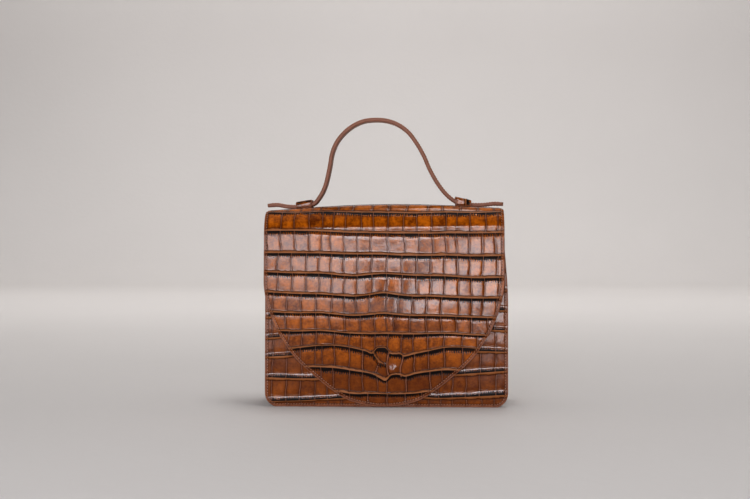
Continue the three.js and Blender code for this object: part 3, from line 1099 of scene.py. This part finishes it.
def scar(x, s):
    """Relief of the scar's own lines and of its blister, and the scar's map.

    The map holds the reach less the distance, for the main line and for the branches, which is 0
    far away, and 1 on the main line's side of greater s.
    """
    main = signed_distance(x, s, scar_line)
    branch = np.minimum(*(abs(signed_distance(x, s, line)) for line in scar_branches))
    inside = smooth((scar_end - x) / scar_fade)
    off = np.hypot(x - blister_place[0], s - length_at(*blister_place))
    relief = scale_profile(main) * inside
    relief = relief + branch_height * np.exp(-((branch / branch_width) ** 2))
    relief = relief + blister_height * np.exp(-((off / blister_radius) ** 2))
    near = [np.maximum(0, scar_reach - abs(d)) for d in (main, branch)]
    return relief, np.stack([near[0] * inside, near[1], np.where(main > 0, 1.0, 0.0)], -1)


# Shares of a row's height at which the grid has points, closer at its ridges. Over all rows the
# number of steps is even, so that the inner side can have half of them.
fine_steps = np.array([
    0, 0.5, 1, 1.6, 2.4, 3.4, 5, 7, 9, 11, 13, 14.8, 16.2, 17.2, 18, 18.8, 19.4, 20,
]) / 20
plain_steps = np.array([0, 0.7, 1.5, 2.6, 5, 8, 11, 14, 16.5, 18, 19.2, 20]) / 20
corner_steps = np.array([0, 0.12, 0.45, 1, 1.8, 2.8, 4, 5.6, 7.6, 10, 13, 16, 19]) / 21
corner_steps = np.r_[corner_steps, 0.97, 1]
tip_steps = 1 - np.array([13, 11, 9, 7.3, 5.8, 4.5, 3.4, 2.5, 1.8, 1.2, 0.7, 0.35, 0.12, 0]) / 13
wrap_divisions = (
    [corner_steps]
    + [plain_steps] * (back_rows - 1)
    + [fine_steps] * len(flap_lines)
    + [tip_steps]
)

wrap = embossed_sheet(
    "wrap",
    wrap_face,
    lambda s: wrap_half(s) - edge_round,
    wrap_rows,
    wrap_divisions,
    border_shares(191, half_width, fine=10),
    leather,
    turn=1,
    hide_place=wrap_hide,
    mark=scar,
)
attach(wrap, "root")
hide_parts("flap_and_back")


# Front panel
# The front wall, of the same leather and sewn to the turned edge of the gusset. It shows in both
# lower corners beside the flap. Its rows lie the other way up: the crevice is above each line.

panel_knots = np.array([-120, -90, -48, 0, 26, 51, 76, 120.0])
panel_lines = [
    [5.2, 6, 8.5, 10.5, 11, 9.4, 10.2, 12.7],
    [29.3, 28.4, 29, 30.5, 31.3, 32, 33.4, 36.7],
    [50, 51.7, 53, 54, 55, 56, 56.6, 55.8],
    [69.1, 71.1, 73, 74, 75.5, 77, 78.2, 77.4],
    [90.5, 91.5, 93, 94, 95, 96, 97, 97.3],
    [111, 112, 113, 114, 115, 116, 117, 117.5],
    [131, 132, 134, 135, 136, 136, 137, 137],
    [152, 153, 154, 155, 156, 156, 157, 157],
    [171, 172, 173, 174, 174, 175, 175, 175],
]
panel_columns = [
    -115.2, -100.3, -86.2, -73, -59, -44, -29, -14, 1, 16, 30, 42, 54, 67, 78.8, 95, 109.5,
]


def panel_face(x, z):
    """The front panel's outer face: the body's front, standing out by the swell."""
    x, z = np.broadcast_arrays(np.asarray(x, float), np.asarray(z, float))
    return np.stack([x, body_middle - half_depth(z) - swell(x, z), z], -1)


def panel_half(z):
    """Half the front panel's width at the height z."""
    return body_half(z) - panel_taper(z)


def panel_line(values):
    """A row line on the front panel through these heights at the x in panel_knots."""
    return lambda x: through(x, panel_knots, values)


panel_rows = scale_rows(
    [level_line(edge_round)]
    + [panel_line(values) for values in panel_lines]
    + [level_line(panel_height - edge_round)],
    [np.array(panel_columns) + chance.uniform(-1.5, 1.5, len(panel_columns)) for _ in range(10)],
    cut_low=0.55,
    cut_high=0.6,
    ridge_shift=panel_ridge_shift,
)
low_steps = np.array([0, 0.1, 0.35, 0.8, 1.4, 2.2, 3.2, 4.4, 5.7, 7, 8.5, 10]) / 10
rise_steps = np.array([
    0, 0.5, 1, 1.6, 2.4, 3.4, 4.6, 6, 8, 10, 12, 14, 16, 17.4, 18.4, 19.3, 20,
]) / 20
panel_divisions = [low_steps] + [rise_steps] * 4 + [plain_steps] * 5

panel = embossed_sheet(
    "front_wall",
    panel_face,
    lambda z: panel_half(z) - edge_round,
    panel_rows,
    panel_divisions,
    border_shares(171, half_width, fine=10),
    leather,
    turn=-1,
    hide_place=panel_hide,
)
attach(panel, "root")
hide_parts("front_panel")


# Gusset
# One long strip of thinner embossed leather forms both sides and the bottom. Its edges turn
# outwards under the seams of front and back, and its sides are folded in towards the top.

gusset_leather = 1.8
gusset_corner = 8.0
side_opening = 23.0
fold_depth = 9.0
fold_length = 95.0
gusset_bend = 1.2
seam_gap = 0.05
gusset_height = roof_height - side_opening
web_half = half_width - seam_allowance

side_length = gusset_height - corner_radius
bend_length = gusset_corner * math.pi / 2
floor_half = web_half - gusset_corner
gusset_middle = side_length + bend_length + floor_half  # length from either upper end


def gusset_channel(p):
    """The web's line at the length p from its left upper end: (x, z, outwards x, outwards z).

    It runs down the left side, round a quarter circle and along the bottom to the middle. The
    other half is its mirror image.
    """
    left = gusset_middle - abs(p - gusset_middle)
    turned = np.clip((left - side_length) / gusset_corner, 0, math.pi / 2)
    along_floor = np.maximum(0, left - side_length - bend_length)
    z = np.where(
        left < side_length, gusset_height - left, corner_radius - gusset_corner * np.sin(turned)
    )
    x = -web_half + gusset_corner * (1 - np.cos(turned)) + along_floor + panel_taper(z)
    hand = np.where(p > gusset_middle, -1.0, 1.0)
    return x * hand, z, -np.cos(turned) * hand, -np.sin(turned)


def web_reach(z):
    """Half the depth at the height z between the seams' faces, which the thread pulls together."""
    return half_depth(z) - leather - seam_gap - gusset_leather


def gusset_flange(w, z):
    """Length of the turned edge: at the back it follows the back's own edge."""
    back = seam_allowance + wrap_half(z) - panel_half(z)
    return np.where(w > 0, back, seam_allowance)


def gusset_half(p):
    """Half the strip's flat width, along web, bend and turned edge."""
    _, z, _, _ = gusset_channel(p)
    reach = web_reach(z)
    return reach - gusset_bend + gusset_bend * math.pi / 2 + seam_allowance - gusset_bend


# The fold's section: mostly a straight-sided peak, rounded at its crest, and partly a cosine.
fold_peak = 0.65
fold_crest = 0.04


def gusset_face(w, p):
    """The strip's outer face at w across it and p along it.

    Across, the web is level, then turns outwards through a quarter circle and runs on as the
    turned edge. The web is folded in by a soft peak that fades out downwards.
    """
    w, p = np.broadcast_arrays(np.asarray(w, float), np.asarray(p, float))
    x, z, out_x, out_z = gusset_channel(p)
    reach = web_reach(z)
    a = abs(w)
    level = reach - gusset_bend
    turned = np.clip((a - level) / gusset_bend, 0, math.pi / 2)
    beyond = np.maximum(0, a - level - gusset_bend * math.pi / 2)
    stretch = (gusset_flange(w, z) - gusset_bend) / (seam_allowance - gusset_bend)
    y = np.minimum(a, level) + gusset_bend * np.sin(turned)
    out = gusset_bend * (1 - np.cos(turned)) + beyond * stretch
    share = np.clip(y / reach, 0, 1)
    sharp = 1 + fold_crest - np.sqrt(share**2 + fold_crest**2)
    soft = 0.5 + 0.5 * np.cos(math.pi * share)
    peak = fold_peak * sharp + (1 - fold_peak) * soft
    fold = fold_depth * smooth(1 - (gusset_height - z) / fold_length)
    out = out - fold * peak * np.where(turned > 0, 0, 1)
    height = z + out_z * out
    lean = web_reach(height) / reach
    return np.stack([x + out_x * out, body_middle + np.sign(w) * y * lean, height], -1)


gusset_length = 2 * gusset_middle
gusset_levels = np.arange(16.0, gusset_length - 12, row_pitch)
gusset_knots = np.linspace(-50, 50, 7)
gusset_rows = scale_rows(
    [level_line(edge_round)]
    + [wavy_line(level, gusset_knots, swing=1.2) for level in gusset_levels]
    + [level_line(gusset_length - edge_round)],
    [random_columns(-50, 50) for _ in range(len(gusset_levels) + 1)],
    cut_low=0.2,
    cut_high=0.8,
)
side_steps = np.array([0, 0.7, 1.5, 2.6, 4.4, 6.6, 9, 11.5, 14, 16.2, 17.6, 18.8, 20]) / 20
gusset_divisions = [side_steps] * len(gusset_rows)

# Shares across it: even over the web, closer round the bend, and even again on the turned edge.
mid_height = 90.0
bend_at = (web_reach(mid_height) - gusset_bend) / float(gusset_half(np.array([mid_height]))[0])
beyond_bend = np.r_[
    bend_at + np.array([0.012, 0.024, 0.036, 0.05]), np.linspace(bend_at + 0.07, 1, 6)
]
gusset_shares = np.sort(
    np.r_[np.linspace(-bend_at, bend_at, 51), beyond_bend, -beyond_bend]
)

gusset = embossed_sheet(
    "side_strip",
    gusset_face,
    lambda p: gusset_half(p) - edge_round,
    gusset_rows,
    gusset_divisions,
    gusset_shares,
    gusset_leather,
    turn=-1,
    hide_place=gusset_hide,
)
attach(gusset, "root")
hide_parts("gusset")


# Handle
# Two layers of strap leather sewn together, the outer one embossed, with a thick painted edge. It
# lies on the roof in two loops and leaves a short free tail at either end.

strap_width = 20.0
strap_thickness = 3.6
tail_inset = 1.5
handle_rise = 85.0
handle_half_span = half_width - tail_inset
strap_across = np.array(
    [-1, -0.92, -0.84, -0.76, -0.68, -0.605, -0.553, -0.51, -0.472, -0.45, -0.407, -0.34, -0.26]
    + [-0.172, -0.07, 0.017, 0.105, 0.193, 0.266, 0.325, 0.383, 0.456, 0.529, 0.61, 0.68, 0.76]
    + [0.84, 0.92, 1]
)
strap_up = np.array(
    [0.057, 0.042, 0.015, 0, 0, 0.022, 0.105, 0.226, 0.451, 0.62, 0.758, 0.867, 0.946, 0.991, 1]
    + [0.986, 0.942, 0.853, 0.719, 0.576, 0.391, 0.218, 0.096, 0.02, 0, 0, 0.008, 0.027, 0.043]
)
strap_seat = wrap_face(strap_across * handle_half_span, np.full(len(strap_across), roof_middle))
strap_y = float(wrap_face(0.0, roof_middle)[1])
strap_points = np.c_[
    strap_seat[:, 0],
    strap_seat[:, 2] + sewn_gap + strap_thickness / 2 + strap_up * handle_rise,
]


def centripetal(points, count):
    """A centripetal Catmull-Rom line through the points, at `count` even lengths along it.

    Each span is a cubic whose end slopes weigh the neighbours by the root of their distance.
    """
    whole = np.r_[[2 * points[0] - points[1]], points, [2 * points[-1] - points[-2]]]
    p0, p1, p2, p3 = whole[:-3], whole[1:-2], whole[2:-1], whole[3:]
    d0, d1, d2 = (
        np.sqrt(np.linalg.norm(b - a, axis=1))[:, None] for a, b in ((p0, p1), (p1, p2), (p2, p3))
    )
    slope1 = ((p1 - p0) / d0 - (p2 - p0) / (d0 + d1) + (p2 - p1) / d1) * d1
    slope2 = ((p2 - p1) / d1 - (p3 - p1) / (d1 + d2) + (p3 - p2) / d2) * d1
    t = np.linspace(0, 1, 40, endpoint=False)[None, :, None]
    a, b, m, n = (v[:, None] for v in (p1, p2, slope1, slope2))
    line = (
        a * (1 + 2 * t) * (1 - t) ** 2 + b * t * t * (3 - 2 * t)
        + m * t * (1 - t) ** 2 + n * t * t * (t - 1)
    ).reshape(-1, 2)
    line = np.r_[line, points[-1:]]
    length = np.r_[0, np.cumsum(np.linalg.norm(np.diff(line, axis=0), axis=1))]
    even = np.linspace(0, length[-1], count)
    return np.c_[np.interp(even, length, line[:, 0]), np.interp(even, length, line[:, 1])], even


strap_line, strap_lengths = centripetal(strap_points, 321)
strap_length = strap_lengths[-1]
strap_along = np.gradient(strap_line, strap_lengths, axis=0)
strap_along /= np.linalg.norm(strap_along, axis=1, keepdims=True)
strap_out = np.c_[-strap_along[:, 1], strap_along[:, 0]]

# The strap's section, once round: embossed face, edge, plain face, edge.
# The painted edge bulges a little and has a crease where the two layers meet.
face_points = 15
edge_depth = 0.9
edge_step = 0.12
edge_limit = math.radians(75)
seam_crease = 0.12
edge_half = strap_thickness / 2
face_half = strap_width / 2 - edge_depth
face_y = face_half * np.linspace(-1, 1, face_points)
edge_turn = np.radians([62, 38, 12, 0, -12, -38, -62])
edge_y = face_half + edge_depth * np.cos(edge_turn) ** 0.8
edge_n = (edge_half - edge_step) * np.sin(edge_turn) / math.sin(edge_limit)
edge_y[len(edge_y) // 2] -= seam_crease
face_n = np.full(face_points, edge_half)
section_y = np.r_[face_y, edge_y, face_y[::-1], -edge_y]
section_n = np.r_[face_n, edge_n, -face_n, edge_n[::-1]]
section_count = len(section_y)

# The material of each face round the section: 0 embossed, 1 painted edge, 2 lining.
face_look = np.zeros(face_points - 1)
edge_look = np.ones(len(edge_y) + 1)
section_look = np.r_[face_look, edge_look, face_look + 2, edge_look]

# Its scales are domed, the thread pulls both faces in along its two rows, and the tails are
# rounded off.
strap_dome_height = 0.16
strap_seam = 7.0
strap_seam_depth = 0.14
strap_seam_width = 0.9
strap_press = 0.06
tail_round = 3.0
strap_cells = np.cumsum(chance.uniform(11, 16, 60)) - 20
strap_j = np.clip(np.searchsorted(strap_cells, strap_lengths) - 1, 0, len(strap_cells) - 2)
cell_width = strap_cells[strap_j + 1] - strap_cells[strap_j]
strap_u = strap_j + (strap_lengths - strap_cells[strap_j]) / cell_width
from_end = np.minimum(strap_lengths, strap_length - strap_lengths)
short = np.maximum(0, tail_round - from_end)
narrower = tail_round - np.sqrt(np.maximum(0, tail_round**2 - short**2))
strap_wide = section_y[None] * (1 - narrower[:, None] / (strap_width / 2))
dome_across = np.where(section_look == 0, 1 - (section_y / face_half) ** 6, 0)
strap_dome = strap_dome_height * (1 - (2 * np.abs(strap_u % 1 - 0.5)) ** 4)[:, None] * dome_across
seam_dip = np.exp(-(((abs(section_y) - strap_seam) / strap_seam_width) ** 2))
strap_dip = -strap_seam_depth * seam_dip * np.where(abs(section_n) == edge_half, 1, 0)
strap_n = section_n[None] + np.sign(section_n)[None] * strap_dip[None]
strap_n = strap_n + np.maximum(0, strap_dome) - strap_press
strap_mesh = np.stack(
    [
        strap_line[:, 0][:, None] + strap_out[:, 0][:, None] * strap_n,
        strap_y + strap_wide,
        strap_line[:, 1][:, None] + strap_out[:, 1][:, None] * strap_n,
    ],
    -1,
)
strap_rows = len(strap_lengths)
i, j = np.meshgrid(np.arange(strap_rows - 1), np.arange(section_count), indexing="ij")
following = (j + 1) % section_count
strap_quads = np.stack(
    [
        i * section_count + j,
        i * section_count + following,
        (i + 1) * section_count + following,
        (i + 1) * section_count + j,
    ],
    -1,
).reshape(-1, 4)
strap_looks = np.tile(section_look, strap_rows - 1)

# Each end is closed by a fan round its middle.
end_chart = [0.5, 0.5, 10]
strap_ends = []
strap_middles = []
for station, flip in ((0, False), (strap_rows - 1, True)):
    first = station * section_count
    middle = strap_rows * section_count + len(strap_middles)
    strap_middles.append(strap_mesh[station].mean(0))
    ring = first + np.arange(section_count)
    fan = np.stack([np.full(section_count, middle), np.roll(ring, -1), ring], 1)
    strap_ends.append(fan[:, ::-1] if flip else fan)
strap_ends = np.concatenate(strap_ends)
strap_vertices = np.r_[strap_mesh.reshape(-1, 3), np.array(strap_middles)]
flat_section = np.r_[0, np.cumsum(np.hypot(np.diff(section_y), np.diff(section_n)))]
strap_flat = np.stack(
    np.broadcast_arrays(flat_section[None], strap_lengths[:, None]), -1
).reshape(-1, 2)
strap_flat = np.r_[strap_flat, [[0, 0], [0, 0]]]
strap_chart = np.stack(
    np.broadcast_arrays(
        strap_u[:, None], 0.5 + 0 * section_y[None], (strap_width / 2 - abs(section_y))[None]
    ),
    -1,
).reshape(-1, 3)
strap_chart = np.r_[strap_chart, [end_chart, end_chart]]
strap_corner = np.r_[strap_quads.ravel(), strap_ends.ravel()]

lining = Finish("strap_lining")
lining_place = lining.object_place()
lining_grain = lining.noise(lining_place, 1100.0, 4.0)
lining.wear(
    Base_Color=(lining.noise(lining_place, 60.0, 3.0) * 0.7 + lining_grain * 0.3).blend(
        linear(120, 76, 58), linear(160, 112, 92)
    ),
    Roughness=0.5,
    Normal=lining.bump(lining_grain, 0.12 * MM),
)

handle = put_mesh(
    "strap",
    strap_vertices,
    strap_quads.tolist() + strap_ends.tolist(),
    [embossed.material, painted.material, lining.material],
    np.r_[strap_looks, np.ones(len(strap_ends))],
    {"flat": strap_flat[strap_corner], "chart": strap_chart[strap_corner]},
)
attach(handle, "root")
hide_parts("handle")


# Loops
# A band of the embossed leather stands on the roof astride the strap, on either side of the hand.
# Its ends are fixed through the roof, and its two long edges are painted.

loop_length = 16.5
loop_leather = 2.0
loop_air = 0.7
loop_round = 2.7
loop_inside = strap_width / 2 + sewn_gap
loop_outside = loop_inside + loop_leather
loop_flat = loop_outside - loop_round
loop_border = 0.35
loop_cut = 0.42
fold_past_bend = 1.2
fold_at = -fold_past_bend - loop_flat


def strap_top(x):
    """Height of the strap's upper face at x."""
    slope = np.interp(x, strap_line[:, 0], strap_along[:, 1] / strap_along[:, 0])
    middle = np.interp(x, strap_line[:, 0], strap_line[:, 1])
    return middle + strap_thickness / 2 * np.sqrt(1 + slope**2)


def loop_maker(inner):
    """The outer face of one loop as a function of w across the band and p along the strap."""
    near = inner * handle_half_span
    far = near + math.copysign(loop_length, inner)
    start, end = min(near, far), max(near, far)
    ends = [strap_top(v + upper_drift) + sewn_gap + loop_air + loop_leather for v in (start, end)]
    bend = loop_round * math.pi / 2

    def top_at(p):
        return ends[0] + (ends[1] - ends[0]) * p / loop_length

    def foot_at(p, hand):
        foot = wrap_face(start + p, roof_middle - hand * loop_outside)
        return foot[..., 2] + sewn_gap

    def half(p):
        return loop_flat + bend + top_at(p) - loop_round - foot_at(p, 1.0)

    def face(w, p):
        w, p = np.broadcast_arrays(np.asarray(w, float), np.asarray(p, float))
        a = abs(w)
        hand = np.where(w < 0, -1.0, 1.0)
        top = top_at(p)
        turned = np.clip((a - loop_flat) / loop_round, 0, math.pi / 2)
        down = np.maximum(0, a - loop_flat - bend)
        whole = half(p) - loop_flat - bend
        leg = top - loop_round - foot_at(p, hand)
        y = np.minimum(a, loop_flat) + loop_round * np.sin(turned)
        z = top - loop_round * (1 - np.cos(turned)) - down * leg / whole
        return np.stack([start + upper_drift + p, strap_y + hand * y, z], -1)

    return face, half


def along_fold(w, p):
    """Relief and scar map of a line like those between rows, where a loop bends to the front."""
    past = fold_at - w
    near = np.maximum(0, scar_reach - abs(past))
    return scale_profile(past), np.stack([near, 0 * w, np.where(past > 0, 1.0, 0.0)], -1)


# The left loop has such a line, and the right one has a line between two rows of scales.
for loop_name, loop_node, loop_inner, loop_lines, last_share in (
    ("loop_left", "left_loop", -0.62, (), 0.85),
    ("loop_right", "right_loop", 0.595, (11.4,), 0.22),
):
    loop_face, loop_half = loop_maker(loop_inner)
    rows = scale_rows(
        [level_line(edge_round)]
        + [wavy_line(level, np.linspace(-25, 25, 5), swing=0.5) for level in loop_lines]
        + [level_line(loop_length - edge_round)],
        [random_columns(-25, 25) for _ in range(len(loop_lines) + 1)],
        cut_low=loop_cut,
        cut_high=last_share,
    )
    loop_steps = [np.linspace(0, 1, 19), np.linspace(0, 1, 9)][: len(rows)]
    loop = embossed_sheet(
        loop_name,
        loop_face,
        lambda p, half=loop_half: half(p) - edge_round,
        rows,
        loop_steps,
        np.linspace(-1, 1, 61),
        loop_leather,
        turn=1,
        hide_place=loop_hide + 100 * loop_inner,
        mark=along_fold if loop_inner < 0 else None,
        border=loop_border,
    )
    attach(loop, "root")
    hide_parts(loop_node)


# Clasp
# The hidden fastener between flap and front panel is the CAD's plain disc, of brushed brass.

brass = Finish("brass")
brass_place = brass.object_place()
brass_cloud = brass.noise(brass_place, 700.0, 4.0)
brass.wear(
    Base_Color=brass_cloud.blend(linear(168, 128, 66), linear(196, 158, 92)),
    Metallic=1.0,
    Roughness=0.28 + brass_cloud * 0.12,
)
clasp_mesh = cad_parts["clasp"].data
clasp_mesh.materials.clear()
clasp_mesh.materials.append(brass.material)


# Stitching
# Waxed brown thread holds front and back to the gusset, runs on round the flap as a border, and
# joins the strap's two layers. Each stitch is a short bead whose ends dip into the leather.

stitch_pitch = 2.8
stitch_half_length = 1.05
stitch_half_width = 0.3
stitch_flatness = 0.8
stitch_slant = 0.12
stitch_dip = 0.22
stitch_raise = 0.02
gusset_stitch_inset = 2.4

thread = Finish("thread")
thread_twist = thread.noise(thread.object_place(), 2600.0, 2.0)
thread.wear(
    Base_Color=thread_twist.blend(linear(146, 92, 60), linear(184, 130, 98)),
    Roughness=0.55,
    Normal=thread.bump(thread_twist, 0.1 * MM),
)

# A bead with its poles on the long axis, 6 faces round and 5 along.
bead_sides = 6
bead_rings = 4
bead_turn = np.linspace(0, 2 * math.pi, bead_sides, endpoint=False)
bead_along = np.linspace(-1, 1, bead_rings + 2)[1:-1]
bead_girth = np.repeat((1 - bead_along**4) ** 0.5, bead_sides)
bead_points = np.r_[
    [[-1, 0, 0]],
    np.stack(
        [
            np.repeat(bead_along, bead_sides),
            np.tile(np.cos(bead_turn), bead_rings) * bead_girth,
            np.tile(np.sin(bead_turn), bead_rings) * bead_girth,
        ],
        1,
    ),
    [[1, 0, 0]],
]
bead_hoops = 1 + np.arange(bead_rings * bead_sides).reshape(bead_rings, bead_sides)
bead_next = np.roll(bead_hoops, -1, 1)
bead_tip = 1 + bead_hoops.size
bead_caps = np.r_[
    [[0, b, a] for a, b in zip(bead_hoops[0], bead_next[0])],
    [[bead_tip, a, b] for a, b in zip(bead_hoops[-1], bead_next[-1])],
]
bead_bands = np.stack(
    [bead_hoops[:-1], bead_next[:-1], bead_next[1:], bead_hoops[1:]], -1
).reshape(-1, 4)


def bead_run(line, normals):
    """Beads at even lengths along a line: points, one block of rows for each bead."""
    length = np.r_[0, np.cumsum(np.linalg.norm(np.diff(line, axis=0), axis=1))]
    count = max(1, int(length[-1] / stitch_pitch))
    at = (np.arange(count) + 0.5) * length[-1] / count

    def sampled(values, where):
        return np.stack([np.interp(where, length, values[:, k]) for k in range(3)], 1)

    reach = 0.4
    place = sampled(line, at)
    along = sampled(line, at + reach) - sampled(line, at - reach)
    along /= np.linalg.norm(along, axis=1, keepdims=True)
    up = sampled(normals, at)
    up -= along * np.sum(up * along, 1, keepdims=True)
    up /= np.linalg.norm(up, axis=1, keepdims=True)
    aside = np.cross(up, along)
    bx, by, bz = (bead_points[None, :, k : k + 1] for k in range(3))
    high = bz * stitch_half_width * stitch_flatness + stitch_raise - stitch_dip * bx**2
    return (
        place[:, None]
        + along[:, None] * bx * stitch_half_length
        + aside[:, None] * (by * stitch_half_width + stitch_slant * bx)
        + up[:, None] * high
    )


def sew(name, runs):
    """All the beads of these (line, normals) runs as one mesh."""
    points = np.concatenate([bead_run(*run) for run in runs])
    count, each = points.shape[:2]
    first = np.arange(count)[:, None, None] * each
    faces = []
    for shape in (bead_caps, bead_bands):
        faces += (first + shape).reshape(-1, shape.shape[1]).tolist()
    made = put_mesh(name, points.reshape(-1, 3), faces, [thread.material])
    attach(made, "root")


def inset_line(face, half, end, turn):
    """The line `stitch_inset` inside the edge of a sheet that is `end` long, with its normals.

    The rim goes along the left side, the far end, the right side and the near end, with closer
    points where the sides begin, at the round corners.
    """
    s = np.r_[end * smooth(np.linspace(0, 1, 60)[:20]) * 0.2, np.linspace(0, end, 900)]
    s = np.unique(s)
    width = half(s)
    far = np.linspace(-width[-1], width[-1], 60)[1:-1]
    near = np.linspace(width[0], -width[0], 160)[1:-1]
    rim = np.r_[
        np.c_[-width, s],
        np.c_[far, np.full(len(far), end)],
        np.c_[width[::-1], s[::-1]],
        np.c_[near, 0 * near],
    ]
    keep = np.r_[True, np.linalg.norm(np.diff(rim, axis=0), axis=1) > 1e-3]
    rim = rim[keep]
    moved = rim - rim_normals(rim) * stitch_inset
    moved = np.r_[moved, moved[:1]]
    return face(moved[:, 0], moved[:, 1]), normals_of(face, moved[:, 0], moved[:, 1], turn)


# One row round the whole edge of the wrap and one round the front panel's.
sew("stitches_wrap", [inset_line(wrap_face, wrap_half, wrap_length, 1)])
sew("stitches_front", [inset_line(panel_face, panel_half, panel_height, -1)])

# One row on either turned edge of the gusset.
gusset_p = np.linspace(4, gusset_length - 4, 700)
gusset_runs = []
for hand in (-1, 1):
    at = hand * (gusset_half(gusset_p) - gusset_stitch_inset)
    gusset_runs.append((gusset_face(at, gusset_p), normals_of(gusset_face, at, gusset_p, -1)))
sew("stitches_gusset", gusset_runs)

# Two rows on either face of the strap, which end before the tails do.
strap_stitch_height = edge_half + 0.1
tailless = slice(4, strap_rows - 4)
strap_outwards = np.c_[strap_out[:, 0], np.zeros(strap_rows), strap_out[:, 1]]
strap_runs = []
for hand in (-1, 1):
    across = np.full(strap_rows, strap_y + hand * strap_seam)
    middle_line = np.c_[strap_line[:, 0], across, strap_line[:, 1]]
    for facing in (-1, 1):
        line = middle_line + strap_outwards * facing * strap_stitch_height
        strap_runs.append((line[tailless], (strap_outwards * facing)[tailless]))
sew("stitches_strap", strap_runs)
